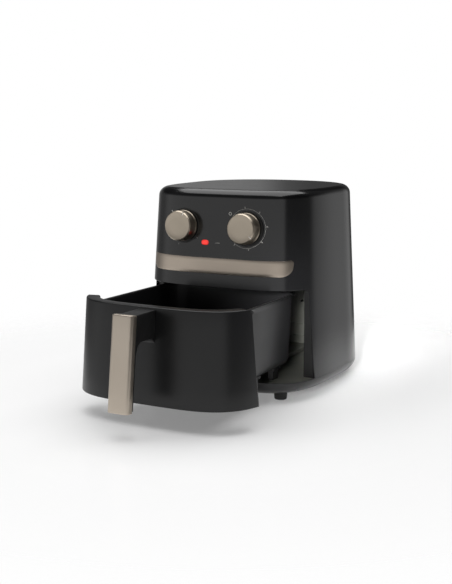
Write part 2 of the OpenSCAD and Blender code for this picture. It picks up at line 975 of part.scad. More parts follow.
module motor_screws() {
    color("#8f8f8f")
    at_axis()
        for (sx = [-1, 1], sy = [-1, 1]) {
            translate([sx * 26, sy * 18, 0]) {
                post(0, 0, mount_z - 4, mount_z - 1.5, 3.4);
                post(0, 0, mount_z - 1.5, stator_z + stator_h + 8, 1.9);
                post(0, 0, stator_z + stator_h + 6, stator_z + stator_h + 8.5, 3.4);
                post(0, 0, mount_z, stator_z - 6, 3.6);
            }
            post(sx * 67, sy * 18, shroud_top + 1.5, shroud_top + 3.5, 3.4);
            post(sx * 67, sy * 18, shroud_top, shroud_top + 1.5, 1.9);
        }
}

module thermal_fuse() {
    color("#d8d2c0")
    at_axis()
        translate([0, -70, shroud_top])
            union() {
                box(-11, 11, -4, 4, 0, 1);
                translate([0, 0, 3.4])
                    rotate([0, 90, 0])
                        cylinder(h = 16, r = 2.4, center = true);
                box(-3, 3, -1, 1, 0.5, 1.6);
            }
}

module safety_switch() {
    y0 = cavity_back + liner_t + 0.5;
    color("#7d2f2a")
    difference() {
        box(switch_x - 10, switch_x + 10, y0, y0 + 16, switch_z - 5, switch_z + 5);
        translate([switch_x, y0 - over, switch_z])
            rotate([-90, 0, 0])
                cylinder(h = 13, r = 1.8 + run_gap);
        for (s = [-1, 1])
            post(switch_x + s * 7.5, y0 + 8, 0, top_z, 1.1);
    }
}

module switch_plunger() {
    tip = pan_back + rim_w + 0.6;
    color("#e8e4da")
    translate([switch_x, tip, switch_z])
        rotate([-90, 0, 0])
            cylinder(h = cavity_back + liner_t + 8 - tip, r = 1.8);
}

// Rounded pad on the rear wall round the plunger
module switch_cover() {
    color("#2c2d2b")
    difference() {
        along_y(cavity_back - 1.6, cavity_back)
            polygon(concat([[switch_x - 8, switch_z + 50], [switch_x + 24, switch_z + 50]],
                           arc(switch_x + 16, switch_z - 22, 8, 0, -90, 6),
                           arc(switch_x, switch_z - 22, 8, -90, -180, 6)));
        translate([switch_x, cavity_back, switch_z])
            rotate([90, 0, 0])
                cylinder(h = 20, r = 2.6, center = true);
    }
}

module terminal_block() {
    y0 = cavity_back + liner_t + 1;
    color("#e6e2d6")
    difference() {
        box(-22, 22, y0, y0 + 14, inlet_z - 8, inlet_z + 6);
        for (x = [-14, 0, 14]) {
            post(x, y0 + 7, inlet_z + 1, inlet_z + 7, 2.6);
            translate([x, y0 + 6, inlet_z - 3])
                rotate([-90, 0, 0])
                    cylinder(h = 12, r = 1.8);
        }
    }
}

// Loose leads from the terminals to the motor, the switch and the front
module wiring_harness() {
    y = lead_y;
    z = inlet_z + 8;
    color("#a33a2c")
    union() {
        wire([[-14, y - 8, z], [-14, y, z + 10], [-30, y, deck_z - 18], [-30, y, deck_z + 20],
              [-30, axis_y + 84, mount_z + 8], [-12, axis_y + 67, mount_z + 10]], 1.1);
        wire([[14, y - 8, z], [14, y, z + 10], [switch_x + 4, y, switch_z - 14],
              [switch_x + 4, y - 8, switch_z - 6]], 1.1);
        wire([[switch_x - 4, y - 8, switch_z + 6], [switch_x - 4, y, switch_z + 14],
              [30, y, deck_z + 20], [84, axis_y + 60, mount_z], [92, axis_y - 20, mount_z + 8],
              [dial_x + unit_hw + 6, dial_y + 56, dial_z - 4],
              [dial_x + unit_hw - lug_hw, dial_y + 53, dial_z - 4]], 1.1);
    }
}

// Curved slab that fills the drawer opening, hollow behind
module drawer_front() {
    back = plan_y - front_end;
    color("#2a2a2b")
    at_drawer()
        difference() {
            intersection() {
                body_slice(base_top - over, opening_top + over, 0);
                along_y(-300, back)
                    polygon(opening_points(drawer_gap));
            }
            body_slice(base_top - 3, opening_top + 3, front_t);
            // hollow between the flanges
            difference() {
                intersection() {
                    body_slice(base_top - 2, opening_top + 2, front_skin);
                    along_y(-300, back + over)
                        polygon(opening_points(drawer_gap + front_skin));
                }
                for (x = bracket_x(), z = bracket_zs())
                    along_y(-300, back + over)
                        translate([x, z])
                            circle(r = 5);
                box(-opening_hw, opening_hw, back - 2.5, back + over, 0, top_z);
            }
            at_bracket_screws()
                cylinder(h = front_t - front_skin + 0.5, r = screw_r + 0.1);
        }
}

function bracket_x() = [-70, 70];
function bracket_zs() = [pan_bottom + 20, rim_z - 18];

// Screw places on the back of the drawer front; z runs towards the front
module at_bracket_screws() {
    for (x = bracket_x(), z = bracket_zs())
        translate([x, front_y(x, z, front_t) + 1.5, z])
            rotate([90, 0, 0])
                children();
}

bracket_wall = 2.2;

module bracket_block(inset) {
    intersection() {
        box(inset - 84, 84 - inset, pan_front - 40, pan_front - 0.6,
            pan_bottom + 8 + inset, rim_z - 4 - inset);
        body_slice(base_top, opening_top, front_t + seat_gap + inset);
    }
}

// Tray between the pan's front wall and the drawer front
module pan_bracket() {
    color("#3a3a3a")
    at_drawer()
        difference() {
            bracket_block(0);
            // open behind, so that it is a tray
            translate([0, over, 0])
                bracket_block(bracket_wall);
            for (x = bracket_x(), z = bracket_zs())
                along_y(-300, 0)
                    translate([x, z])
                        circle(r = screw_r + 0.2);
        }
}

// Inner face of the pan's front wall at height z
function pan_wall_y(z) = pan_front + pan_draft * (rim_z - z) / pan_depth + pan_t;

module drawer_screws() {
    color("#9a9a9a")
    at_drawer()
        for (x = bracket_x(), z = bracket_zs())
            translate([x, pan_wall_y(z) + 0.25, z])
                rotate([90, 0, 0])
                    union() {
                        post(0, 0, -1.6, 0, 3.2);
                        post(0, 0, -0.5, pan_wall_y(z) - front_y(x, z, front_t) + 6, screw_r);
                    }
}

module drawer_pan() {
    wall_levels = [[0, pan_r - 6, 10], [3, pan_r - 5, 4], [7, pan_r - 3, 1.2], [12, pan_r - 2, 0]];
    lean = pan_draft / pan_depth;
    color("#262627")
    at_drawer()
        difference() {
            union() {
                loft(concat(
                    [for (l = wall_levels)
                        pan_grown(lean * l[0] - pan_draft - l[2], l[1], pan_bottom + l[0])],
                    [pan_grown(0, pan_r, rim_z)]));
                // turned-out rim
                loft([pan_grown(rim_w, pan_r + rim_w, rim_z - 1.6),
                      pan_grown(rim_w, pan_r + rim_w, rim_z)]);
            }
            loft(concat(
                [for (l = wall_levels)
                    pan_grown(lean * l[0] - pan_draft - l[2] - pan_t, l[1], pan_bottom + l[0] + pan_t)],
                [pan_grown(-pan_t, pan_r - pan_t, rim_z + over)]));
            for (x = bracket_x(), z = bracket_zs())
                along_y(pan_front - over, pan_front + pan_draft + 8)
                    translate([x, z])
                        circle(r = screw_r + 0.2);
        }
}

// The pan's outline at height z, grown on every side
function pan_grown(grow, r, z) =
    pan_ring(pan_hw + grow, pan_front - grow, pan_back + grow, r, z);

// Skids that carry the pan along the cavity floor
module pan_skids() {
    z1 = pan_bottom - 0.1;
    color("#1d1d1d")
    at_drawer()
        for (s = [-1, 1], y = [pan_front + 40, axis_y - 6, pan_back - 52])
            translate([s * (pan_hw - 20), y, base_top + 1])
                union() {
                    box(-4, 4, 0, 16, 0, z1 - base_top - 1);
                    box(-7, 7, -2, 18, z1 - base_top - 4, z1 - base_top - 1);
                }
}

module crisper_plate() {
    hw = pan_hw - pan_draft - plate_gap;
    y0 = pan_front + pan_draft + plate_gap;
    y1 = pan_back - pan_draft - plate_gap;
    outline = [for (p = pan_ring(hw, y0, y1, pan_r - 6, 0)) [p[0], p[1]]];
    step = 19;
    rows = floor((hw - 16) / step);
    color("#3b3b3c")
    at_drawer()
        union() {
            translate([0, 0, plate_z])
                linear_extrude(plate_t)
                    difference() {
                        polygon(outline);
                        for (i = [-rows : rows], j = [-rows : rows])
                            translate([i * step, axis_y + j * step])
                                circle(r = (i + j) % 2 == 0 ? 4.5 : 3, $fn = 24);
                    }
            // feet that stand on the pan's bottom
            for (sx = [-1, 1], sy = [-1, 1])
                post(sx * 3.5 * step, axis_y + sy * 3.5 * step, pan_bottom + pan_t + seat_gap,
                     plate_z + plate_t / 2, 4);
        }
}

module plate_bumpers() {
    hw = pan_hw - pan_draft - plate_gap;
    hy = (pan_back - pan_front) / 2 - pan_draft - plate_gap;
    color("#6a6a68")
    at_drawer()
        translate([0, axis_y, plate_z])
            for (sx = [-1, 1], sy = [-1, 1])
                difference() {
                    translate([sx * (hw - pan_r - 2), sy * (hy - 0.75), 0])
                        box(-8, 8, -3.25, 3.25, -3, plate_t + 3);
                    // slot that grips the plate's edge
                    box(-hw - 1, hw + 1, -hy, hy, 0, plate_t);
                }
}

// Front of the grip is a channel section with round edges
module channel(w, d, r, l) {
    union() {
        for (s = [-1, 1])
            post(s * (w / 2 - r), r, 0, l, r);
        box(r - w / 2, w / 2 - r, 0, r + 0.5, 0, l);
        box(-w / 2, w / 2, r, d, 0, l);
    }
}

module handle_cover() {
    color("#a89d90")
    at_handle()
        difference() {
            channel(handle_w, handle_cover_d, 6, handle_l);
            translate([0, cover_t, cover_t])
                channel(handle_w - 2 * cover_t, handle_cover_d, 6 - cover_t, handle_l - 2 * cover_t);
        }
}

module handle_body() {
    g = cover_t + seat_gap;
    color("#1b1b1c")
    union() {
        at_handle()
            union() {
                difference() {
                    union() {
                        translate([0, g, g])
                            channel(handle_w - 2 * g, handle_d - g, 6 - g, handle_l - 2 * g);
                        box(g - handle_w / 2, handle_w / 2 - g,
                            handle_cover_d + seat_gap, handle_d, g, handle_l - g);
                    }
                    // screw heads sink in from the front
                    for (z = handle_screw_zs())
                        translate([0, 0, z])
                            rotate([-90, 0, 0])
                                post(0, 0, 0, handle_d - 6, 3.5);
                }
            }
        difference() {
            at_drawer()
                rotate([90, 0, 90])
                    translate([0, 0, -arm_hw])
                        linear_extrude(2 * arm_hw)
                            polygon(arm_outline());
            at_drawer()
                body_slice(base_top - 5, opening_top + 5, -0.02);
        }
    }
}

function handle_screw_zs() = [handle_l - 34, handle_l - 16];

// Grip's back face at height z, seen from the side
function grip_back(z) = handle_foot_y + handle_d + (z - handle_foot_z) * tan(handle_lean);

function arm_outline() =
    let (y0 = grip_back(arm_under) - 5, y1 = front_y(0, arm_under), f = arm_fillet)
    concat([[grip_back(arm_top) - 5, arm_top], [y0, arm_under - f]],
           [[grip_back(arm_under) - 0.5, arm_under - f]],
           arc(grip_back(arm_under) - 0.5 + f, arm_under - f, f, 180, 90),
           arc(y1 - f + 1, arm_under - f, f, 90, 0),
           [[y1 + 6, arm_under - f], [y1 + 12, arm_top]]);

// Heads of the two screws that hold the grip to its arm
module handle_screws() {
    color("#9a9a9a")
    at_handle()
        for (z = handle_screw_zs())
            translate([0, 0, z])
                rotate([-90, 0, 0])
                    post(0, 0, handle_d - 9, handle_d - 6.1, 3.2);
}

outer_shell();
top_cover();
base_tray();
rubber_feet();
cavity_floor();
cavity_liner();
chamber_deck();
trim_band();
indicator_lens();
indicator_lamp();
rear_vent_grille();
cord_inlet();
timer_collar();
temperature_collar();
control_bracket();
bracket_screws();
timer_unit();
timer_bell();
timer_shaft();
timer_knob();
thermostat_unit();
thermostat_probe();
thermostat_shaft();
temperature_knob();
heat_shroud();
heating_element();
element_clips();
element_guard();
convection_fan();
fan_nut();
motor_shaft();
cooling_fan();
motor_rotor();
motor_stator();
motor_coil();
motor_brackets();
motor_mount();
motor_screws();
thermal_fuse();
safety_switch();
switch_plunger();
switch_cover();
terminal_block();
wiring_harness();
base_screws();
drawer_front();
drawer_pan();
pan_bracket();
pan_skids();
drawer_screws();
crisper_plate();
plate_bumpers();
handle_body();
handle_cover();
handle_screws();
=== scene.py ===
import json
import math

import bmesh
import bpy
from mathutils import Euler, Matrix, Vector


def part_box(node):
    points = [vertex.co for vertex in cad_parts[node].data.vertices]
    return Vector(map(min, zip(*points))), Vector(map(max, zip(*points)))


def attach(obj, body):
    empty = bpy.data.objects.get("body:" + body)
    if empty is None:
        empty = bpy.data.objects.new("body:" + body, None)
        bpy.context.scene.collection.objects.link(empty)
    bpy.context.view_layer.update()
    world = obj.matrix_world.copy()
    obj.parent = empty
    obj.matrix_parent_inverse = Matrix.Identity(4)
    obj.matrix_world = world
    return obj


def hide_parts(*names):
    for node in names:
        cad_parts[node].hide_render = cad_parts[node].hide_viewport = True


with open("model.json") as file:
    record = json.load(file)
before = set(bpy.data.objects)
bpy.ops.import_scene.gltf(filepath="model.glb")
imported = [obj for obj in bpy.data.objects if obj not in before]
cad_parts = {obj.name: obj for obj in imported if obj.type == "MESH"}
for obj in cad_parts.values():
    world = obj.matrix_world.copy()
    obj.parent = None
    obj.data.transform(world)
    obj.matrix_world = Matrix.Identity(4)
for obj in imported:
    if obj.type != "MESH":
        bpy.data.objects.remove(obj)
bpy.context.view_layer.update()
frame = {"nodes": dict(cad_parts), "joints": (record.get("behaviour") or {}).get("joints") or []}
bpy.context.scene.view_settings.view_transform = "Standard"

MM = 0.001
TURN = 2 * math.pi

# ---------------------------------------------------------------- sizes, in metres, from the frame
base_low, base_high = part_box("base_tray")
shell_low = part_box("outer_shell")[0]
front_low, front_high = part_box("drawer_front")
pan_low, pan_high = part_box("drawer_pan")

WALL = 2.6 * MM
SIDE_DRAFT = 0.046                     # each side leans in by this much per height
END_DRAFT = 0.07                       # front and rear lean in by this much per height
FRONT_POWER = 4.0                      # how squarely the plan bends round in front
BACK_POWER = 2.25                      # and behind, where it is nearly round
PLAN_Y = 14 * MM                       # the plan's widest line
BASE_R = 20 * MM                       # rounding of the base in its CAD node
BASE_REACH = 33 * MM                   # how far in the base's rounding runs, flatter than it is high
TOP_R = 13 * MM                        # rounding of the shoulder
COVER_INSET = 9 * MM                   # from the body's side in to the seam of the lid
SEAT_GAP = 0.3 * MM                    # play round a piece that sits in another
PLAN_POINTS = 264                      # points round the body's outline
PAST_ALL = 0.3                         # clear of the whole appliance, for the ends of cutters

FLOOR_Z = base_low.z                   # underside of the base
SEAM_Z = shell_low.z
TOP_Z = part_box("top_cover")[1].z
HALF_W = base_high.x + SIDE_DRAFT * (FLOOR_Z + BASE_R)
FRONT_D = PLAN_Y - base_low.y + END_DRAFT * (FLOOR_Z + BASE_R)
BACK_D = base_high.y - PLAN_Y + END_DRAFT * (FLOOR_Z + BASE_R)
LEAN = math.atan(END_DRAFT)            # how far the front leans back

DRAWER_OUT = -frame["joints"][0]["range_m"][0]     # how far it stands drawn out at rest
DRAWER_GAP = 0.8 * MM                  # between drawer front and opening
OPENING_TOP = front_high.z + DRAWER_GAP
OPENING_SPREAD = 0.065                 # the opening widens by this much per height downwards
OPENING_JAMB = 8.3 * MM                # shell left beside the opening at its top
OPENING_HW = HALF_W - SIDE_DRAFT * OPENING_TOP - OPENING_JAMB
OPENING_R = 6 * MM
FRONT_T = 15 * MM                      # the drawer front's depth over its flanges
FRONT_SKIN = 3 * MM
FRONT_END_Y = front_high.y + DRAWER_OUT

liner_low, liner_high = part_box("cavity_liner")
LINER_T = 2 * MM
LINER_R = 42 * MM                      # its rear corners
LINER_JAMB = 9.7 * MM                  # the liner's side lies this far in from the opening's
CAVITY_HW = OPENING_HW - LINER_JAMB
CAVITY_FRONT = liner_low.y
CAVITY_BACK = liner_high.y - LINER_T

joint_of = {joint["child"]: joint for joint in frame["joints"]}
DIAL_R = 22.4 * MM
COLLAR_R = 26 * MM
COLLAR_RISE = 0.8 * MM
PIN_HOLE_R = 2.6 * MM                  # round the safety switch's plunger


def half_w(z):
    """Half the body's width at its widest line."""
    return HALF_W - SIDE_DRAFT * z


def plan_point(angle, z, inset=0.0):
    """Point on the body's surface at height z, in a direction seen from above, moved in by inset."""
    u, v = math.cos(angle), math.sin(angle)
    power = FRONT_POWER if v < 0 else BACK_POWER
    deep = (FRONT_D if v < 0 else BACK_D) - END_DRAFT * z - inset
    k = (abs(u) ** power + abs(v) ** power) ** (-1 / power)
    return Vector(((half_w(z) - inset) * k * u, PLAN_Y + deep * k * v, z))


def front_y(x, z, inset=0.0):
    """Where the front surface lies at x and z."""
    share = min(abs(x) / (half_w(z) - inset), 1.0)
    deep = FRONT_D - END_DRAFT * z - inset
    return PLAN_Y - deep * (1 - share ** FRONT_POWER) ** (1 / FRONT_POWER)


def side_x(y, z, inset):
    """Half the body's width at y and z, in front of its widest line."""
    deep = FRONT_D - END_DRAFT * z - inset
    share = min(abs(y - PLAN_Y) / deep, 1.0)
    return (half_w(z) - inset) * (1 - share ** FRONT_POWER) ** (1 / FRONT_POWER)


def out_of_front(place):
    """A frame at place whose Z comes straight out of the front and whose Y points up its face."""
    return Matrix.Translation(place) @ Matrix.Rotation(math.pi / 2 - LEAN, 4, "X")


def out_of_rear(place):
    """A frame at place whose Z points to the rear."""
    return Matrix.Translation(place) @ Matrix.Rotation(-math.pi / 2, 4, "X")


def body_normal(p):
    """Direction that the shell's moulded surface faces at p."""
    power = FRONT_POWER if p.y < PLAN_Y else BACK_POWER
    deep = (FRONT_D if p.y < PLAN_Y else BACK_D) - END_DRAFT * p.z
    wide = half_w(p.z)
    x, y = p.x / wide, (p.y - PLAN_Y) / deep
    gx = math.copysign(abs(x) ** (power - 1), x) / wide
    gy = math.copysign(abs(y) ** (power - 1), y) / deep
    gz = abs(x) ** power * SIDE_DRAFT / wide + abs(y) ** power * END_DRAFT / deep
    flat = Vector((gx, gy, gz)).normalized()
    if p.z <= TOP_Z - TOP_R:
        return flat
    turn = math.asin(min((p.z - TOP_Z + TOP_R) / TOP_R, 1.0))
    return (flat * math.cos(turn) + Vector((0, 0, math.sin(turn)))).normalized()


def back_y(x, z, inset):
    """Where the rear surface lies at x and z."""
    share = min(abs(x) / (half_w(z) - inset), 1.0)
    deep = BACK_D - END_DRAFT * z - inset
    return PLAN_Y + deep * (1 - share ** BACK_POWER) ** (1 / BACK_POWER)


def corner_arc(cx, cy, r, a0, a1, n=8):
    """Points on an arc, in degrees, for outlines."""
    turns = [math.radians(a0 + (a1 - a0) * i / n) for i in range(n + 1)]
    return [(cx + r * math.cos(a), cy + r * math.sin(a)) for a in turns]


def spread_out(a, b, n, crowd):
    """n + 1 places from a to b, crowded towards both ends."""
    shares = [i / n for i in range(n + 1)]
    eased = [(1 - math.cos(math.pi * t)) / 2 for t in shares]
    return [a + (b - a) * (t + (e - t) * crowd) for t, e in zip(shares, eased)]


# ---------------------------------------------------------------- modelling steps
def clear_selection():
    """Leaves edit mode if it is on, and deselects everything."""
    if bpy.context.object and bpy.context.object.mode == "EDIT":
        bpy.ops.object.mode_set(mode="OBJECT")
    bpy.ops.object.select_all(action="DESELECT")


def edit(ob, kind="FACE"):
    """Opens ob alone in edit mode with nothing selected."""
    clear_selection()
    bpy.context.view_layer.objects.active = ob
    ob.select_set(True)
    bpy.ops.object.mode_set(mode="EDIT")
    bpy.ops.mesh.select_mode(type=kind)
    bpy.ops.mesh.select_all(action="DESELECT")


def pick_edges(ob, test):
    """Selects the edges that test says yes to, in edit mode."""
    bm = bmesh.from_edit_mesh(ob.data)
    bm.normal_update()
    for edge in bm.edges:
        edge.select_set(bool(test(edge)))
    bm.select_flush_mode()
    bmesh.update_edit_mesh(ob.data)


def done(ob):
    """Leaves edit mode."""
    bpy.ops.object.mode_set(mode="OBJECT")
    return ob


def sweep(rings, capped=True):
    """A skin over rings of equal length: a circle is set to the first and extruded to each next one."""
    clear_selection()
    count = len(rings[0])
    bpy.ops.mesh.primitive_circle_add(vertices=count, radius=1)
    ob = bpy.context.object
    for v, p in zip(ob.data.vertices, rings[0]):
        v.co = p
    edit(ob, "EDGE")
    bpy.ops.mesh.select_all(action="SELECT")
    if capped:
        bpy.ops.mesh.edge_face_add()
        pick_edges(ob, lambda e: True)
    order = {i: i for i in range(count)}
    for ring in rings[1:]:
        bpy.ops.mesh.extrude_edges_move()
        bm = bmesh.from_edit_mesh(ob.data)
        bm.verts.index_update()
        moved = {}
        for v in bm.verts:
            if v.select:
                old = next(e.other_vert(v) for e in v.link_edges if not e.other_vert(v).select)
                moved[v.index] = order[old.index]
                v.co = ring[order[old.index]]
        order = moved
    if capped:
        bpy.ops.mesh.edge_face_add()
    bmesh.update_edit_mesh(ob.data)
    return done(ob)


def merge_points(ob, near):
    """Merges points that lie nearer than near, and leaves ob in edit mode, all selected."""
    edit(ob)
    bpy.ops.mesh.select_all(action="SELECT")
    bpy.ops.mesh.remove_doubles(threshold=near)


def tidy_mesh(ob):
    """Merges doubles and turns the faces outwards."""
    merge_points(ob, 0.002 * MM)
    bpy.ops.mesh.normals_make_consistent(inside=False)
    return done(ob)


def plan_rings(levels, count=PLAN_POINTS):
    """Rings of the body's plan for (height, inset) levels."""
    turns = [TURN * i / count for i in range(count)]
    return [[plan_point(a, z, inset) for a in turns] for z, inset in levels]


def prism(outline, y0, y1):
    """A closed bar along Y whose outline is drawn in X and Z."""
    return tidy_mesh(sweep([[Vector((x, y, z)) for x, z in outline] for y in (y0, y1)]))


def slab(outline, z0, z1):
    """A closed plate whose outline is drawn in X and Y."""
    return tidy_mesh(sweep([[Vector((x, y, z)) for x, y in outline] for z in (z0, z1)]))


def lathe(profile, count, place=None, capped=True):
    """A turned piece: circles of (radius, height) along Z, then set into the frame of place."""
    turns = [TURN * i / count for i in range(count)]
    rings = [[Vector((r * math.cos(a), r * math.sin(a), z)) for a in turns] for r, z in profile]
    ob = tidy_mesh(sweep(rings, capped))
    if place is not None:
        ob.data.transform(place)
    return ob


def bore(r, reach, count, place):
    """A round bar that cuts a hole of radius r, reach to each side of place."""
    return lathe([(r, -reach), (r, reach)], count, place)


def modify(ob, kind, **values):
    """Adds a modifier, applies it and leaves the mesh changed."""
    clear_selection()
    bpy.context.view_layer.objects.active = ob
    ob.select_set(True)
    made = ob.modifiers.new(kind.lower(), kind)
    for key, value in values.items():
        setattr(made, key, value)
    bpy.ops.object.modifier_apply(modifier=made.name)
    return ob


def cut(ob, cutter):
    """Cuts cutter out of ob, and removes it."""
    modify(ob, "BOOLEAN", operation="DIFFERENCE", solver="EXACT", object=cutter)
    bpy.data.objects.remove(cutter)
    return ob


def soften(ob, width, steps, angle, where=None):
    """Rounds the edges sharper than angle, or those that where picks."""
    if where is None:
        return modify(ob, "BEVEL", width=width, segments=steps, limit_method="ANGLE",
                      angle_limit=math.radians(angle), use_clamp_overlap=True)
    edit(ob, "EDGE")
    limit = math.radians(angle)
    pick_edges(ob, lambda e: len(e.link_faces) == 2 and e.calc_face_angle() > limit and where(e))
    bpy.ops.mesh.bevel(offset=width, segments=steps, affect="EDGES", clamp_overlap=False)
    return done(ob)


def join(*obs):
    """Joins the meshes into the first."""
    clear_selection()
    for ob in obs:
        ob.select_set(True)
    bpy.context.view_layer.objects.active = obs[0]
    bpy.ops.object.join()
    return obs[0]


def copy_to(ob, *moves):
    """Copies of ob, each with its own mesh and moved by one of moves, joined into one; ob itself goes."""
    made = []
    for move in moves:
        twin = ob.copy()
        twin.data = ob.data.copy()
        bpy.context.scene.collection.objects.link(twin)
        twin.data.transform(Matrix.Translation(move))
        made.append(twin)
    bpy.data.objects.remove(ob)
    return join(*made)


def true_normals(ob):
    """Gives faces that lie on the shell's surface its exact direction, so that cuts leave no ripples."""
    near = 0.25 * MM                   # how far off the surface a face's points may lie
    same_way = 0.985                   # cosine of how far a face may be turned from the surface
    mesh = ob.data
    normals = [Vector((0, 0, 0))] * len(mesh.loops)
    for poly in mesh.polygons:
        direction = body_normal(poly.center)
        if direction.dot(poly.normal) < same_way:
            continue
        if any(abs(skin_depth(mesh.vertices[v].co)) >= near for v in poly.vertices):
            continue
        for i in poly.loop_indices:
            normals[i] = body_normal(mesh.vertices[mesh.loops[i].vertex_index].co)
    mesh.normals_split_custom_set(normals)
    return ob


def skin_depth(p):
    """Roughly how far p lies inside the shell's moulded surface."""
    angle = math.atan2((p.y - PLAN_Y) / FRONT_D, p.x / HALF_W)
    power = FRONT_POWER if p.y < PLAN_Y else BACK_POWER
    deep = (FRONT_D if p.y < PLAN_Y else BACK_D) - END_DRAFT * p.z
    wide = half_w(p.z)
    share = (abs(p.x / wide) ** power + abs((p.y - PLAN_Y) / deep) ** power) ** (1 / power)
    reach = math.hypot(math.cos(angle) * wide, math.sin(angle) * deep)
    depth = (1 - share) * reach
    if p.z > TOP_Z - TOP_R:
        rise = min(p.z - TOP_Z + TOP_R, TOP_R)
        depth -= TOP_R - math.sqrt(TOP_R ** 2 - rise ** 2)
    return depth


def piece(ob, name, body, material, replaces=(), smooth=30):
    """Names a finished mesh, shades it smooth below that many degrees, and fixes it to its body."""
    clear_selection()
    ob.name = name
    ob.data.name = name
    bpy.context.view_layer.objects.active = ob
    ob.select_set(True)
    bpy.ops.object.shade_smooth_by_angle(angle=math.radians(smooth))
    ob.data.materials.clear()
    ob.data.materials.append(material)
    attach(ob, body)
    if replaces:
        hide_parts(*replaces)
    return ob


# ---------------------------------------------------------------- materials
def linear(code):
    """Linear colour, with alpha, of an sRGB hex code."""
    parts = [int(code[i:i + 2], 16) / 255 for i in (1, 3, 5)]
    return tuple(c / 12.92 if c <= 0.04045 else ((c + 0.055) / 1.055) ** 2.4 for c in parts) + (1,)


def add_node(tree, kind, settings=None, **inputs):
    """A node with its settings, and its inputs, named or numbered as in i0, set or linked."""
    made = tree.nodes.new(kind)
    for key, value in (settings or {}).items():
        setattr(made, key, value)
    for key, value in inputs.items():
        numbered = key[0] == "i" and key[1:].isdigit()
        socket = made.inputs[int(key[1:]) if numbered else key.replace("_", " ")]
        if isinstance(value, bpy.types.NodeSocket):
            tree.links.new(value, socket)
        else:
            socket.default_value = value
    return made


def new_material(name):
    """A material with its node tree and its shader."""
    mat = bpy.data.materials.new(name)
    mat.use_nodes = True
    tree = mat.node_tree
    return mat, tree, tree.nodes["Principled BSDF"]


def per_metre(size_mm):
    """Noise scale for a pattern whose features are size_mm apart."""
    return 1000 / size_mm


def surface(name, colour, rough, tint, rough_spread, grain_mm, grain, depth_mm, metal=0.0, ior=None,
            stretch=None, blotch_mm=30.0):
    """A finish with grain in its relief and slow changes of colour and gloss, all at real sizes."""
    mat, tree, bsdf = new_material(name)
    bsdf.inputs["Metallic"].default_value = metal
    if ior:
        bsdf.inputs["IOR"].default_value = ior
    place = add_node(tree, "ShaderNodeTexCoord").outputs["Object"]
    blotch = add_node(tree, "ShaderNodeTexNoise", Vector=place, Scale=per_metre(blotch_mm), Detail=3.0)
    if stretch:
        place = add_node(tree, "ShaderNodeMapping", Vector=place, Scale=stretch).outputs[0]
    fine = add_node(tree, "ShaderNodeTexNoise", Vector=place, Scale=per_metre(grain_mm), Detail=4.0)
    mixed = add_node(tree, "ShaderNodeMix", {"data_type": "RGBA"}, i0=blotch.outputs["Fac"],
                     i6=linear(colour), i7=linear(tint))
    tree.links.new(mixed.outputs[2], bsdf.inputs["Base Color"])
    gloss = add_node(tree, "ShaderNodeMapRange", Value=blotch.outputs["Fac"], To_Min=rough - rough_spread,
                     To_Max=rough + rough_spread)
    tree.links.new(gloss.outputs[0], bsdf.inputs["Roughness"])
    relief = add_node(tree, "ShaderNodeBump", Height=fine.outputs["Fac"], Strength=grain,
                      Distance=depth_mm * MM)
    tree.links.new(relief.outputs[0], bsdf.inputs["Normal"])
    return mat


# injection-moulded ABS from a polished mould: deep black, a soft wide gloss, a faint ripple in the skin
shell_abs = surface("shell_gloss_abs", "#0d0d0e", 0.17, ior=1.54, grain_mm=9, grain=0.03, depth_mm=0.05,
                    tint="#101011", rough_spread=0.015)
# the lid, moulded from the same ABS: the same black, a touch softer in its gloss
cover_abs = surface("cover_gloss_abs", "#0e0e0f", 0.2, ior=1.54, grain_mm=9, grain=0.03, depth_mm=0.05,
                    tint="#151516", rough_spread=0.02)
# the base, moulded ABS from a lightly blasted mould: satin, so the floor shows in it only as a glow
base_abs = surface("base_satin_abs", "#0c0c0d", 0.28, ior=1.54, grain_mm=1.2, grain=0.12, depth_mm=0.02,
                   tint="#0f0f10", rough_spread=0.03)
# the drawer front comes from a spark-eroded mould, which leaves fine grain and a satin sheen
front_abs = surface("drawer_front_satin_abs", "#0b0b0c", 0.33, ior=1.44, grain_mm=0.9, grain=0.16,
                    depth_mm=0.03, tint="#0f0f10", rough_spread=0.03)
# the grip, moulded ABS with a fine blasted grain: dull enough not to look wet in the hand
grip_abs = surface("grip_satin_abs", "#101011", 0.42, ior=1.54, grain_mm=0.8, grain=0.2, depth_mm=0.03,
                   tint="#141415", rough_spread=0.03)
# the cavity liner, steel sheet with a baked heat-proof paint: greenish grey, soft and uneven in shine; its
# grey is set paler than the paint, as painted light for the light that falls into the cavity
liner_with_painted_light = surface("liner_steel_paint_and_painted_light", "#5c5d57", 0.36, ior=1.5, grain_mm=1.6, grain=0.12,
                      depth_mm=0.03, tint="#63645e", rough_spread=0.05)
# glass-filled nylon that stands the heat: a slightly green grey, dull
liner_nylon = surface("liner_moulded_nylon", "#484944", 0.4, ior=1.53, grain_mm=1.4, grain=0.15,
                      depth_mm=0.03, tint="#50514b", rough_spread=0.05)
# small moulded parts of ABS with a plain matt mould: black with a low sheen
trim_abs = surface("trim_black_abs", "#0e0e0e", 0.42, ior=1.54, grain_mm=0.8, grain=0.15, depth_mm=0.02,
                   tint="#131313", rough_spread=0.04)
# champagne anodised aluminium, finely brushed along its length: long streaks in the gloss
band_metal = surface("band_brushed_aluminium", "#beb2a4", 0.34, metal=1.0, grain_mm=0.5, grain=0.22,
                     depth_mm=0.02, tint="#b4a89b", rough_spread=0.04, stretch=(0.02, 1, 1), blotch_mm=60)
# the same aluminium on the handle, brushed along its height
cover_metal = surface("handle_brushed_aluminium", "#c2b7aa", 0.36, metal=1.0, grain_mm=0.5, grain=0.2,
                      depth_mm=0.02, tint="#b8ad9f", rough_spread=0.04, stretch=(1, 1, 0.02), blotch_mm=60)
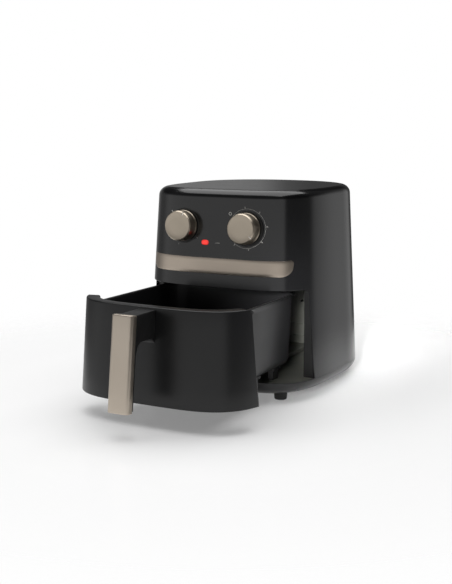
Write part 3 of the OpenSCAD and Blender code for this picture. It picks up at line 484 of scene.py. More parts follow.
# the dial caps, turned and anodised aluminium: fine rings too close to show, so a soft even grain
knob_metal = surface("knob_turned_aluminium", "#b8ad9e", 0.38, metal=1.0, grain_mm=0.6, grain=0.12,
                     depth_mm=0.02, tint="#b0a595", rough_spread=0.03, blotch_mm=40)
# the dial's pointer, aluminium cut after anodising: bright bare metal, its pale tone also a painted highlight
# where light glints on the dial's chamfer
pointer_highlight_metal = surface("pointer_painted_highlight", "#e8e2da", 0.2, metal=1.0, grain_mm=0.8, grain=0.05,
                        depth_mm=0.01, tint="#dcd6cd", rough_spread=0.03)
# sprayed nonstick on steel sheet: a fine pebble in the skin and a broad soft shine
pan_coat = surface("pan_nonstick_coating", "#1c1c1d", 0.34, ior=1.45, grain_mm=0.7, grain=0.28,
                   depth_mm=0.03, tint="#232324", rough_spread=0.05)
# the crisper plate, the same coating a little duller
plate_coat = surface("plate_nonstick_coating", "#232324", 0.38, ior=1.45, grain_mm=0.7, grain=0.3,
                     depth_mm=0.03, tint="#2a2a2b", rough_spread=0.05)
# feet and cord bush, moulded synthetic rubber: flat black, hardly any shine
foot_rubber = surface("foot_moulded_rubber", "#141414", 0.62, ior=1.52, grain_mm=0.8, grain=0.3,
                      depth_mm=0.04, tint="#1b1b1b", rough_spread=0.06)
# the plate's bumpers, moulded silicone: grey, waxy
silicone = surface("bumper_silicone", "#5c5c5a", 0.5, ior=1.41, grain_mm=0.8, grain=0.15, depth_mm=0.03,
                   tint="#666663", rough_spread=0.05)
# aluminised steel sheet, hot dipped: small pale spangles and an uneven shine
aluminised = surface("aluminised_steel_sheet", "#b9bab8", 0.36, metal=1.0, grain_mm=1.5, grain=0.1,
                     depth_mm=0.02, tint="#a8a9a8", rough_spread=0.1, blotch_mm=8)
# the heater's guard, drawn wire with a chrome plate: bright and smooth
wire_chrome = surface("guard_plated_wire", "#bfc0c0", 0.18, metal=1.0, grain_mm=1.5, grain=0.05,
                      depth_mm=0.01, tint="#b0b1b1", rough_spread=0.04)
# the heater's tube, steel oxidised by its own heat: brown and dull in patches
sheath = surface("element_oxidised_sheath", "#4a443e", 0.45, metal=1.0, grain_mm=0.8, grain=0.2,
                 depth_mm=0.02, tint="#38332f", rough_spread=0.1, blotch_mm=12)
# the hot air fan, pressed aluminium: pale, with the press's faint drag in it
fan_metal = surface("fan_pressed_aluminium", "#c3c5c7", 0.33, metal=1.0, grain_mm=0.9, grain=0.1,
                    depth_mm=0.02, tint="#b5b7b9", rough_spread=0.08, blotch_mm=15)
# the cooling fan, moulded nylon: dark grey, dull
fan_nylon = surface("cooling_fan_moulded_nylon", "#2c2c2c", 0.5, ior=1.53, grain_mm=1.0, grain=0.12,
                    depth_mm=0.02, tint="#353535", rough_spread=0.05)
# shafts, ground steel: a close bright grain
ground_steel = surface("shaft_ground_steel", "#b4b5b6", 0.24, metal=1.0, grain_mm=0.5, grain=0.12,
                       depth_mm=0.01, tint="#a5a6a8", rough_spread=0.06, blotch_mm=6)
# screws and nut, zinc plated steel: cool grey with cloudy patches
zinc = surface("screw_zinc_plate", "#a9acb0", 0.32, metal=1.0, grain_mm=0.6, grain=0.12, depth_mm=0.01,
               tint="#9a9c98", rough_spread=0.08, blotch_mm=5)
# the motor's core, stacked sheets of electrical steel: thin lines across the axis
core_steel = surface("laminated_core_steel", "#6b6e72", 0.5, metal=1.0, grain_mm=0.5, grain=0.4,
                     depth_mm=0.06, tint="#5a5d60", rough_spread=0.08, stretch=(0.02, 0.02, 1), blotch_mm=8)
# the motor's winding, enamelled copper wire laid in turns: orange brown, ribbed, glossy
winding = surface("enamelled_copper_winding", "#b0552a", 0.3, metal=1.0, grain_mm=0.5, grain=0.6,
                  depth_mm=0.1, tint="#963f1c", rough_spread=0.06, stretch=(1, 0.03, 0.03), blotch_mm=6)
# the thermostat's bulb, drawn copper: warm, a little tarnished
copper = surface("probe_drawn_copper", "#c58a5c", 0.28, metal=1.0, grain_mm=0.7, grain=0.08, depth_mm=0.01,
                 tint="#b0744a", rough_spread=0.08, blotch_mm=8)
# the timer's bell, pressed steel with a nickel plate: nearly a mirror
bell_nickel = surface("bell_nickel_plate", "#c2c2be", 0.16, metal=1.0, grain_mm=1.2, grain=0.05,
                      depth_mm=0.01, tint="#b4b3ad", rough_spread=0.04, blotch_mm=8)
# timer, thermostat and terminal blocks, moulded resin: cream, matt
cream_resin = surface("mechanism_moulded_resin", "#cfc9b7", 0.48, ior=1.5, grain_mm=1.0, grain=0.12,
                      depth_mm=0.02, tint="#c4bda9", rough_spread=0.05)
# the safety switch, moulded phenolic: dark red brown with a faint shine
phenolic = surface("switch_phenolic", "#5a2823", 0.42, ior=1.6, grain_mm=0.9, grain=0.15, depth_mm=0.02,
                   tint="#4a1f1b", rough_spread=0.06)
# the lamp holder, moulded clear-tinted resin: amber, smooth
lamp_resin = surface("lamp_holder_resin", "#cdb98d", 0.3, ior=1.5, grain_mm=1.5, grain=0.06, depth_mm=0.02,
                     tint="#c2ad80", rough_spread=0.04)
# the thermal fuse, glazed ceramic: off-white, glassy
fuse_glaze = surface("fuse_glazed_ceramic", "#d6d0c0", 0.2, ior=1.52, grain_mm=1.5, grain=0.05,
                     depth_mm=0.02, tint="#c9c2af", rough_spread=0.04)
# the leads, wire in silicone sleeves: brick red, soft shine
lead_sleeve = surface("lead_silicone_sleeve", "#a02f22", 0.48, ior=1.41, grain_mm=0.8, grain=0.12,
                      depth_mm=0.02, tint="#8c261b", rough_spread=0.05)
# the dials' start marks, screen-printed ink: light grey, flat
ink = surface("scale_printed_ink", "#c9c7c2", 0.5, ior=1.5, grain_mm=0.4, grain=0.1, depth_mm=0.01,
              tint="#b5b3ae", rough_spread=0.04)
# the finer marks, the same ink printed thin: darker, because the black shows through
faint_ink = surface("scale_fine_ink", "#9a9894", 0.5, ior=1.5, grain_mm=0.4, grain=0.1, depth_mm=0.01,
                    tint="#8c8a86", rough_spread=0.04)


def lens_material():
    """Lit red polycarbonate: brightest over the lamp behind its middle."""
    mat, tree, bsdf = new_material("lens_lit_polycarbonate")
    bsdf.inputs["Base Color"].default_value = linear("#c01510")
    bsdf.inputs["IOR"].default_value = 1.58
    bsdf.inputs["Roughness"].default_value = 0.18
    low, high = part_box("indicator_lens")
    middle = (low + high) / 2
    place = add_node(tree, "ShaderNodeTexCoord").outputs["Object"]
    away = add_node(tree, "ShaderNodeVectorMath", {"operation": "DISTANCE"}, i0=place,
                    i1=(middle.x, low.y, middle.z))
    glow = add_node(tree, "ShaderNodeMapRange", Value=away.outputs["Value"], From_Min=1 * MM,
                    From_Max=7 * MM, To_Min=1.0, To_Max=0.25)
    colour = add_node(tree, "ShaderNodeMix", {"data_type": "RGBA"}, i0=glow.outputs[0],
                      i6=linear("#8a0a08"), i7=linear("#ff3a30"))
    tree.links.new(colour.outputs[2], bsdf.inputs["Emission Color"])
    bsdf.inputs["Emission Strength"].default_value = 0.9
    return mat


lens_red = lens_material()


# ---------------------------------------------------------------- body
def opening_outline(foot):
    """The drawer opening seen from the front, from its top down to foot."""
    hw, top = OPENING_HW, OPENING_TOP
    spread = OPENING_SPREAD * (top - foot)
    return ([(-hw - spread, foot), (hw + spread, foot)]
            + corner_arc(hw - OPENING_R, top - OPENING_R, OPENING_R, 0, 90)
            + corner_arc(OPENING_R - hw, top - OPENING_R, OPENING_R, 90, 180))


def dial_frame(body):
    """The frame of a dial, at its joint."""
    return out_of_front(joint_of[body]["pos_m"])


lens_low, lens_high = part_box("indicator_lens")
LAMP_X = (lens_low.x + lens_high.x) / 2
LENS_SINK = 3.1 * MM                   # the middle of the lens lies this far inside the front
LAMP_Z = (lens_low.z + lens_high.z) / 2 + LENS_SINK * math.sin(LEAN)
vent_low, vent_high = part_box("rear_vent_grille")
inlet_low, inlet_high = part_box("cord_inlet")
INLET_Z = (inlet_low.z + inlet_high.z) / 2


def lamp_frame():
    """The frame of the lamp, on the front surface."""
    return out_of_front((LAMP_X, front_y(LAMP_X, LAMP_Z), LAMP_Z))


def bar_outline(hw, r, n=10):
    """A bar with round ends, hw to each side and r up and down."""
    return corner_arc(hw - r, 0, r, -90, 90, n) + corner_arc(r - hw, 0, r, 90, 270, n)


def make_shell():
    """Moulded shell: walls, a rounded shoulder, and the cuts for drawer, dials, lamp, vent and cord."""
    shoulder = [math.radians(a) for a in (9, 18, 27, 36, 45, 54, 62, 69)]
    outer = [(SEAM_Z + (TOP_Z - TOP_R - SEAM_Z) * i / 12, 0.0) for i in range(13)]
    outer += [(TOP_Z - TOP_R + TOP_R * math.sin(a), TOP_R - TOP_R * math.cos(a)) for a in shoulder]
    lip = COVER_INSET
    rim = [(TOP_Z - 0.75 * MM, lip - 0.25 * MM), (TOP_Z - 1.0 * MM, lip), (TOP_Z - 3.4 * MM, lip)]
    r_in = TOP_R - WALL
    inner = [(TOP_Z - TOP_R + r_in * math.sin(math.radians(a)),
              WALL + r_in - r_in * math.cos(math.radians(a))) for a in (60, 45, 30, 15, 0)]
    inner += [(SEAM_Z, WALL)]
    ob = tidy_mesh(sweep(plan_rings(outer + rim + inner + [outer[0]]), capped=False))
    ob = cut(ob, prism(opening_outline(SEAM_Z - 2 * MM), -PAST_ALL, CAVITY_FRONT))
    for body in ("timer_dial", "temperature_dial"):
        ob = cut(ob, bore(COLLAR_R + 0.15 * MM, 9 * MM, 96, dial_frame(body)))
    lamp = slab(bar_outline(6.2 * MM, 3.7 * MM), -6 * MM, 6 * MM)
    lamp.data.transform(lamp_frame())
    ob = cut(ob, lamp)
    x0, x1 = vent_low.x - SEAT_GAP, vent_high.x + SEAT_GAP
    z0, z1 = vent_low.z - SEAT_GAP, vent_high.z + SEAT_GAP
    ob = cut(ob, prism([(x0, z0), (x1, z0), (x1, z1), (x0, z1)], PLAN_Y, PAST_ALL))
    ob = cut(ob, bore(8.6 * MM, 30 * MM, 48, out_of_rear((0, inlet_high.y, INLET_Z))))
    merge_points(ob, 0.02 * MM)
    done(ob)

    def on_opening(e):
        mid = (e.verts[0].co + e.verts[1].co) / 2
        return (mid.y < CAVITY_FRONT + 1 * MM and mid.z < OPENING_TOP + 1 * MM
                and mid.z > SEAM_Z + 0.2 * MM and skin_depth(mid) < 0.4 * MM)
    ob = soften(ob, 0.7 * MM, 3, 40, on_opening)
    piece(ob, "outer_shell_skin", "housing", shell_abs, ["outer_shell"], smooth=32)
    return true_normals(ob)


def make_top_cover():
    """Flat lid set into the shoulder, with a rolled edge and a skirt that hides in the seam."""
    seat = COVER_INSET + 0.5 * MM
    middle = 40 * MM - seat
    steps = [(2.8, middle), (2.8, 2.6 * MM), (9, 2.2 * MM), (9, 0), (1.6, 0), (1.05, 0.15 * MM),
             (0.65, 0.5 * MM), (0.35, 1.2 * MM), (0.12, 2.4 * MM), (0, 4.5 * MM), (0, 9 * MM), (0, middle)]
    levels = [(TOP_Z - drop * MM, seat + inward) for drop, inward in steps]
    ob = tidy_mesh(sweep(plan_rings(levels)))
    piece(ob, "top_cover_lid", "housing", cover_abs, ["top_cover"], smooth=40)


def make_base():
    """Base tray with a large rounded lower edge and air slots underneath."""
    top = SEAM_Z - 0.2 * MM
    high, wide = top - FLOOR_Z - 0.3 * MM, BASE_REACH
    turns = [math.radians(a) for a in (0, 9, 18, 27, 36, 45, 54, 63, 72, 81, 90)]
    inside = [(FLOOR_Z + WALL + (high - WALL) * (1 - math.cos(a)), WALL + (wide - WALL) * (1 - math.sin(a)))
              for a in turns]
    outside = [(FLOOR_Z + high * (1 - math.cos(a)), wide * (1 - math.sin(a))) for a in reversed(turns)]
    levels = [(FLOOR_Z + WALL, 50 * MM)] + inside + [(top, WALL), (top, 0)] + outside + [(FLOOR_Z, 50 * MM)]
    ob = tidy_mesh(sweep(plan_rings(levels)))
    slots = []
    for side in (-1, 1):
        for row in range(5):
            outline = [(x + side * 45 * MM, y + 12 * row * MM) for x, y in bar_outline(25 * MM, 2.5 * MM, 6)]
            slots.append(slab(outline, 0, FLOOR_Z + 9 * MM))
    ob = cut(ob, join(*slots))
    piece(ob, "base_tray_skin", "housing", base_abs, ["base_tray"], smooth=40)


def make_feet():
    """Four rubber feet with a rolled lower edge and a step where they enter the base."""
    low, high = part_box("rubber_feet")
    r = 10 * MM
    rear_x = 72 * MM
    steps = [(2.4, 0), (1.6, 0.15), (1.0, 0.7), (0.6, 2), (0.25, 6), (0.25, 8), (0, 8.2), (0, 12)]
    foot = lathe([(r - less * MM, z * MM) for less, z in steps], 48)
    places = ((high.x - r, low.y + r), (rear_x, high.y - r))
    ob = copy_to(foot, *[Vector((side * x, y, 0)) for side in (-1, 1) for x, y in places])
    piece(ob, "feet", "housing", foot_rubber, ["rubber_feet"], smooth=35)


def make_band():
    """Metal band across the front, following its curve, with round lower corners."""
    low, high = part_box("trim_band")
    big, small = 14 * MM, 3 * MM
    proud, edge, sunk = 0.4 * MM, 0.25 * MM, 0.7 * MM
    start = [(0, sunk), (0, edge - proud), (edge * 0.3, edge * 0.3 - proud), (edge, -proud)]
    rings = []
    for x in spread_out(-high.x, high.x, 96, 0.85):
        past = abs(x) - (high.x - big)
        drop = big - math.sqrt(max(big ** 2 - max(past, 0) ** 2, 0))
        past = abs(x) - (high.x - small)
        fall = small - math.sqrt(max(small ** 2 - max(past, 0) ** 2, 0))
        z0, z1 = low.z + drop, high.z - fall
        mids = [z0 + (z1 - z0) * t for t in (0.25, 0.5, 0.75)]
        path = [(z0 + up, inset) for up, inset in start] + [(z, -proud) for z in mids]
        path += [(z1 - down, inset) for down, inset in reversed(start)] + [(z, sunk) for z in reversed(mids)]
        rings.append([Vector((x, front_y(x, z, inset), z)) for z, inset in path])
    ob = tidy_mesh(sweep(rings))
    piece(ob, "band", "housing", band_metal, ["trim_band"], smooth=35)


def make_collar(body, node):
    """Dark ring that the dial turns in, with a step round its inner edge."""
    r, rise, inner, sunk = COLLAR_R, COLLAR_RISE, 5 * MM, -6 * MM
    profile = [(inner, sunk), (r, sunk), (r, rise - 0.35 * MM), (r - 0.15 * MM, rise - 0.1 * MM),
               (r - 0.45 * MM, rise), (r - 1.5 * MM, rise), (r - 1.8 * MM, rise - 0.2 * MM),
               (r - 2.0 * MM, 0), (inner, 0), (inner, sunk)]
    ob = lathe(profile, 96, dial_frame(body), capped=False)
    piece(ob, node + "_ring", "housing", trim_abs, [node], smooth=35)


def make_knob(body, node, turn):
    """Metal-faced dial: flared skirt, chamfer, flat face and a bright pointer let in at turn degrees, its
    pale tone a painted highlight.
    """
    z0, z1 = COLLAR_RISE + 0.6 * MM, COLLAR_RISE + 20 * MM
    r, face = DIAL_R, z1 - 0.12 * MM
    profile = [(4 * MM, z0 + 6 * MM), (11 * MM, z0 + 6 * MM), (11.3 * MM, z0), (r + 0.1 * MM, z0),
               (r + 0.5 * MM, z0 + 0.3 * MM), (r + 0.6 * MM, z0 + 0.8 * MM), (r + 0.6 * MM, z0 + 2.6 * MM),
               (r + 0.3 * MM, z0 + 3.2 * MM), (r, z0 + 3.5 * MM), (r - 0.4 * MM, z1 - 2.0 * MM),
               (r - 0.5 * MM, z1 - 1.7 * MM), (r - 1.75 * MM, z1 - 0.25 * MM), (r - 2.0 * MM, z1),
               (r - 2.3 * MM, z1), (r - 2.6 * MM, face), (r * 0.5, face), (2 * MM, face)]
    ob = lathe(profile, 128, dial_frame(body))
    pointer_place = dial_frame(body) @ Matrix.Rotation(math.radians(turn), 4, "Z")
    outline = [(x + r - 2.7 * MM, y) for x, y in bar_outline(3.2 * MM, 1.0 * MM, 6)]
    notch = slab(outline, z1 - 1.9 * MM, z1 + MM)
    notch.data.transform(pointer_place)
    ob = cut(ob, notch)
    piece(ob, node + "_cap", body, knob_metal, [node], smooth=22)
    # the pointer: a real notch with pale metal set in it, which also stands as a painted highlight on the
    # chamfer
    outline = [(x + r - 2.9 * MM, y) for x, y in bar_outline(2.9 * MM, 0.85 * MM, 6)]
    pointer_highlight_inlay = soften(slab(outline, z1 - 1.8 * MM, z1 - 0.45 * MM), 0.2 * MM, 2, 40)
    pointer_highlight_inlay.data.transform(pointer_place)
    piece(pointer_highlight_inlay, node + "_pointer", body, pointer_highlight_metal)


INK_UP, INK_DOWN = 0.05 * MM, -0.2 * MM   # a printed mark's face and its hidden underside


def on_front(x, z, out):
    """Point on the front at x and z, lifted out of it."""
    return Vector((x, front_y(x, z) - out, z))


def printed_bar(x, z, r, angle, half_long, half_wide):
    """A bar printed r away from x and z at that angle in degrees, which it points along."""
    a = math.radians(angle)
    c, s = math.cos(a), math.sin(a)
    x, z = x + r * c, z + r * s
    section = ((-half_wide, INK_UP), (half_wide, INK_UP), (half_wide, INK_DOWN), (-half_wide, INK_DOWN))
    rings = [[on_front(x + u * c - v * s, z + u * s + v * c, out) for v, out in section]
             for u in (-half_long, 0, half_long)]
    return tidy_mesh(sweep(rings))


def printed_ring(x, z, inner, outer, count):
    """A ring printed round x and z."""
    turns = [TURN * i / count for i in range(count)]
    section = ((inner, INK_DOWN), (inner, INK_UP), (outer, INK_UP), (outer, INK_DOWN), (inner, INK_DOWN))
    rings = [[on_front(x + r * math.cos(a), z + r * math.sin(a), out) for a in turns] for r, out in section]
    return tidy_mesh(sweep(rings, capped=False))


def make_scales():
    """Marks: the timer's ring, its off sign and seven ticks, three at the other dial, a dash by the lamp."""
    timer = joint_of["timer_dial"]["pos_m"]
    time_x, z = timer[0], timer[2]
    heat_x = joint_of["temperature_dial"]["pos_m"][0]
    ticks = [printed_bar(time_x, z, 30.2 * MM, 142 - 45 * k, 1.5 * MM, 0.55 * MM) for k in range(1, 8)]
    piece(join(*ticks), "timer_ticks", "housing", faint_ink)
    off_r, off_angle = 34.2 * MM, math.radians(143)
    off = printed_ring(time_x + off_r * math.cos(off_angle), z + off_r * math.sin(off_angle),
                       1.7 * MM, 2.5 * MM, 24)
    start = printed_bar(heat_x, z, 30.5 * MM, 139, 1.6 * MM, 0.8 * MM)
    piece(join(off, start), "start_marks", "housing", ink)
    ring = printed_ring(time_x, z, 28.35 * MM, 28.75 * MM, 120)
    piece(ring, "timer_scale_ring", "housing", faint_ink)
    low_marks = [printed_bar(heat_x, z, 29 * MM, angle, 1.1 * MM, 0.4 * MM) for angle in (252, 324)]
    piece(join(*low_marks), "temperature_ticks", "housing", faint_ink)
    dash = printed_bar(LAMP_X, LAMP_Z, 21 * MM, 0, 3.6 * MM, 0.5 * MM)
    piece(dash, "lamp_dash", "housing", faint_ink)


def make_lens():
    """Red lens, domed, in its rounded slot."""
    rings = []
    dome = ((0.1, 0), (0.35, 0.15), (0.52, 0.5), (0.6, 1.2), (0.6, 2.4))
    for z, shrink in ((-6.5, -1.5), (-4, -1.5), (-4, 0)) + dome:
        outline = bar_outline((6 - shrink) * MM, (3.5 - shrink) * MM)
        rings.append([Vector((x, y, z * MM)) for x, y in outline])
    ob = tidy_mesh(sweep(rings))
    ob.data.transform(lamp_frame())
    piece(ob, "lamp_lens", "housing", lens_red, ["indicator_lens"], smooth=50)


def make_grille():
    """Rear air outlet: a slightly recessed panel with three columns of slots."""
    inset, thick = 0.8 * MM, 2.6 * MM
    rings = []
    zs = [vent_low.z + (vent_high.z - vent_low.z) * i / 8 for i in range(9)]
    for x in [vent_low.x + (vent_high.x - vent_low.x) * i / 40 for i in range(41)]:
        rings.append([Vector((x, back_y(x, z, inset), z)) for z in zs]
                     + [Vector((x, back_y(x, z, inset + thick), z)) for z in reversed(zs)])
    ob = tidy_mesh(sweep(rings))
    slots = []
    z = vent_low.z + 7.2 * MM
    while z < vent_high.z - 6 * MM:
        for column in (-1, 0, 1):
            outline = [(x + column * 34 * MM, y + z) for x, y in bar_outline(15 * MM, 1.5 * MM, 5)]
            slots.append(prism(outline, PLAN_Y, PAST_ALL))
        z += 7 * MM
    ob = cut(ob, join(*slots))
    piece(ob, "rear_vent_panel", "housing", trim_abs, ["rear_vent_grille"], smooth=32)


def make_inlet():
    """Rubber bush for the cord, with a stepped flange outside and a groove that grips the wall."""
    hole, r, out = 3.75, 8.5, 2.6
    groove = [(r - 0.5, -10), (r, -9.5), (r, -6.2), (r + 1.5, -6.0), (r + 1.5, -4.2), (r, -4.0), (r, 0.1)]
    flange = [(r + 2.1, 0.1), (r + 2.5, 0.5), (r + 2.5, 1.3), (r + 2.0, 1.7), (r, 1.9), (r - 0.6, 2.5),
              (r - 1.2, out), (hole + 0.8, out)]
    profile = [(hole, -10)] + groove + flange + [(hole, 2.2), (hole, -10)]
    place = out_of_rear((0, inlet_high.y - out * MM, INLET_Z))
    ob = lathe([(a * MM, b * MM) for a, b in profile], 56, place, capped=False)
    piece(ob, "cord_bush", "housing", foot_rubber, ["cord_inlet"], smooth=35)


# ---------------------------------------------------------------- cavity
def pin_hole():
    """A cutter for the hole that the switch plunger comes through."""
    low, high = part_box("switch_plunger")
    place = out_of_rear(((low.x + high.x) / 2, CAVITY_BACK, (low.z + high.z) / 2))
    return bore(PIN_HOLE_R, 10 * MM, 32, place)


def make_liner():
    """Cavity liner with round rear corners and two grooves pressed in its rear; flanges at its front."""
    z0, z1 = liner_low.z, liner_high.z
    r = LINER_R

    def path(grow):
        hw, y1 = CAVITY_HW + grow, CAVITY_BACK + grow
        rr = r + grow
        rear = [(hw - rr - (hw - rr) * 2 * i / 12, y1) for i in range(1, 12)]
        return ([(hw, CAVITY_FRONT), (hw, 0)] + corner_arc(hw - rr, y1 - rr, rr, 0, 90, 14) + rear
                + corner_arc(rr - hw, y1 - rr, rr, 90, 180, 14) + [(-hw, 0), (-hw, CAVITY_FRONT)])
    inner, outer = path(0), path(LINER_T)
    grooves = []
    for up in (19, 39):
        z = SEAM_Z + up * MM
        grooves += [(z - 0.9 * MM, 0), (z - 0.5 * MM, 1), (z + 0.5 * MM, 1), (z + 0.9 * MM, 0)]
    levels = [(z0, 0)] + grooves + [(z1, 0)]
    rings = []
    for z, pressed in levels:
        press = 1.1 * MM * pressed
        ring = [Vector((x, y + (press if y > CAVITY_BACK - 0.1 * MM else 0), z)) for x, y in inner]
        rings.append(ring + [Vector((x, y, z)) for x, y in reversed(outer)])
    ob = tidy_mesh(sweep(rings))
    ob = cut(ob, pin_hole())
    flanges = []
    near, seat = CAVITY_HW - 0.1 * MM, WALL + SEAT_GAP
    y0, y1 = CAVITY_FRONT - 0.25 * MM, CAVITY_FRONT + 2 * MM
    for side in (-1, 1):
        rings = []
        for z in [z0 + (z1 - z0) * i / 6 for i in range(7)]:
            section = ((near, y0), (side_x(y0, z, seat), y0), (side_x(y1, z, seat), y1), (near, y1))
            rings.append([Vector((side * x, y, z)) for x, y in section])
        flanges.append(tidy_mesh(sweep(rings)))
    piece(join(*flanges), "cavity_flanges", "housing", trim_abs)
    # the liner's walls in that paler grey: painted light inside the cavity
    piece(ob, "cavity_liner_skin", "housing", liner_with_painted_light, ["cavity_liner"], smooth=32)


def make_switch_pad():
    """Raised pad round the safety plunger, with round lower corners."""
    low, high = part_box("switch_cover")
    r = 8 * MM
    outline = ([(low.x, high.z), (high.x, high.z)] + corner_arc(high.x - r, low.z + r, r, 0, -90, 8)
               + corner_arc(low.x + r, low.z + r, r, -90, -180, 8))
    ob = prism(outline, low.y, high.y)
    ob = soften(ob, 0.5 * MM, 3, 40)
    ob = cut(ob, pin_hole())
    # the pad takes the liner's paler grey, painted light as well
    piece(ob, "switch_pad", "housing", liner_with_painted_light, ["switch_cover"], smooth=35)


def make_plunger():
    """Plunger of the safety switch: a round pin with a domed tip and a collar behind the wall."""
    low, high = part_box("switch_plunger")
    r, collar = 1.8 * MM, (high.x - low.x) / 2
    length = high.y - low.y
    profile = [(0.6 * MM, 0), (1.1 * MM, 0.12 * MM), (1.5 * MM, 0.42 * MM), (r, 1.0 * MM),
               (r, length - 2.4 * MM), (collar, length - 2.2 * MM), (collar, length - 0.2 * MM),
               (collar - 0.2 * MM, length)]
    ob = lathe(profile, 32, out_of_rear(((low.x + high.x) / 2, low.y, (low.z + high.z) / 2)))
    piece(ob, "switch_pin", "switch_button", trim_abs, ["switch_plunger"], smooth=40)


def make_cavity_floor():
    """Floor of the cavity with its raised middle, on which the skids run."""
    low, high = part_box("cavity_floor")
    plate = tidy_mesh(sweep(plan_rings([(low.z, WALL + SEAT_GAP), (SEAM_Z, WALL + SEAT_GAP)], 200)))
    hw = 48 * MM
    y0, y1 = PLAN_Y - FRONT_D + 40 * MM, CAVITY_BACK - MM
    raised = slab([(-hw, y0), (hw, y0), (hw, y1), (-hw, y1)], SEAM_Z - MM, high.z)
    raised = soften(raised, 1.6 * MM, 4, 40)
    ob = join(plate, raised)
    piece(ob, "cavity_floor_plate", "housing", liner_nylon, ["cavity_floor"], smooth=35)


# ---------------------------------------------------------------- drawer
OUT = Vector((0, -DRAWER_OUT, 0))      # from closed to where the drawer stands at rest


def drawer_end(z, inset):
    """Direction, seen from above, in which the drawer front stops at that height and depth."""
    deep = FRONT_D - END_DRAFT * z - inset
    across = half_w(z) - inset
    v = min((PLAN_Y - FRONT_END_Y) / deep, 1.0)
    u = (1 - v ** FRONT_POWER) ** (1 / FRONT_POWER)
    widest = (OPENING_HW - DRAWER_GAP + OPENING_SPREAD * (OPENING_TOP - z)) / across
    if u > widest:
        u = widest
        v = (1 - u ** FRONT_POWER) ** (1 / FRONT_POWER)
    return math.atan2(v, u)


def make_drawer_front():
    """Curved drawer front: a skin with deep flanges turned in all round, and soft rolled edges."""
    z0, z1 = front_low.z, front_high.z
    t, skin, roll = FRONT_T, FRONT_SKIN, 1.6 * MM
    quarter = [math.radians(a) for a in (0, 22.5, 45, 67.5, 90)]
    hw_top = OPENING_HW - DRAWER_GAP

    def section(top, solid):
        inner = t if solid else skin
        flange = [(0, t - 0.8 * MM), (0.25 * MM, t - 0.2 * MM), (0.8 * MM, t), (skin - 0.4 * MM, t),
                  (skin, t - 0.4 * MM), (skin, inner + 0.02 * MM), (skin + 0.1 * MM, inner)]
        shares = (0.2, 0.4, 0.6, 0.8)
        out = [(z0 + roll - roll * math.cos(a), roll - roll * math.sin(a)) for a in quarter]
        out += [(z0 + (top - z0) * k, 0) for k in shares]
        out += [(top - roll + roll * math.sin(a), roll - roll * math.cos(a)) for a in quarter]
        out += [(top - down, inset) for down, inset in flange]
        out += [(top - (top - z0) * k, inner) for k in shares]
        out += [(z0 + up, inset) for up, inset in reversed(flange)]
        return out
    left, right = (0, 0.006, 0.0118), (0.9882, 0.994, 1)       # the solid ends, as shares of the width
    stations = [(s, True) for s in left] + [(s, False) for s in spread_out(0.012, 0.988, 130, 0.7)]
    stations += [(s, True) for s in right]
    rings = []
    for s, solid in stations:
        end = drawer_end(z1, 0)
        x_top = abs(plan_point(math.pi + end + s * (math.pi - 2 * end), z1, 0).x)
        past = max(x_top - (hw_top - OPENING_R), 0)
        top = z1 - OPENING_R + math.sqrt(max(OPENING_R ** 2 - past ** 2, 0))
        ring = []
        for z, inset in section(top, solid):
            end = drawer_end(z, inset)
            ring.append(plan_point(math.pi + end + s * (math.pi - 2 * end), z, inset) + OUT)
        rings.append(ring)
    ob = tidy_mesh(sweep(rings))
    piece(ob, "drawer_front_skin", "drawer", front_abs, ["drawer_front"], smooth=35)


def pan_ring(hw, y0, y1, r, z, n=12):
    """A level of the pan or the plate: a rectangle with corners of radius r."""
    points = (corner_arc(hw - r, y1 - r, r, 0, 90, n) + corner_arc(r - hw, y1 - r, r, 90, 180, n)
              + corner_arc(r - hw, y0 + r, r, 180, 270, n) + corner_arc(hw - r, y0 + r, r, 270, 360, n))
    return [Vector((x, y, z)) for x, y in points]


RIM_W, RIM_T, PAN_T, PAN_R = 4 * MM, 1.6 * MM, 1 * MM, 28 * MM
PAN_DRAFT = 5 * MM                     # each wall leans in by this much from rim to floor
PAN_HW = pan_high.x - RIM_W
PAN_Y0, PAN_Y1 = pan_low.y + RIM_W, pan_high.y - RIM_W


def make_pan():
    """Deep-drawn pan: walls that lean in, a wide round bottom edge and a rim rolled outwards."""
    rim, floor = pan_high.z, pan_low.z
    deep = rim - floor
    bend = 13 * MM

    def wall(grow, z, lift=0.0):
        """One level of the pan, grown by grow; the lowest, from floor and lift up, curve in."""
        up = z - floor - lift
        shrink = PAN_DRAFT * (rim - z) / deep - grow
        if up < bend:
            shrink += bend - math.sqrt(max(bend ** 2 - (bend - up) ** 2, 0))
        r = PAN_R - shrink * 0.75
        return pan_ring(PAN_HW - shrink, PAN_Y0 + shrink, PAN_Y1 - shrink, r, z)
    heights = [up * MM for up in (0, 0.35, 1.2, 2.6, 4.6, 7.2, 10, 13)]
    heights += [deep * k for k in (0.3, 0.5, 0.7, 0.9)]
    inner = [wall(-PAN_T, floor + PAN_T + min(h, deep - 6 * MM), PAN_T) for h in heights]
    wide, thick = RIM_W / MM, RIM_T / MM
    rolled = [(-1, 3.2), (-0.85, 1.2), (-0.4, 0.35), (0.4, 0), (wide - 0.9, 0), (wide - 0.3, 0.25),
              (wide, 0.8), (wide - 0.3, thick - 0.2), (wide - 0.9, thick), (1.0, thick), (0, thick + 1.2)]
    edge = [wall(grow * MM, rim - down * MM) for grow, down in rolled]
    outer = [wall(0, floor + h) for h in reversed(heights)]
    ob = tidy_mesh(sweep(inner + edge + outer))
    piece(ob, "pan", "drawer", pan_coat, ["drawer_pan"], smooth=45)


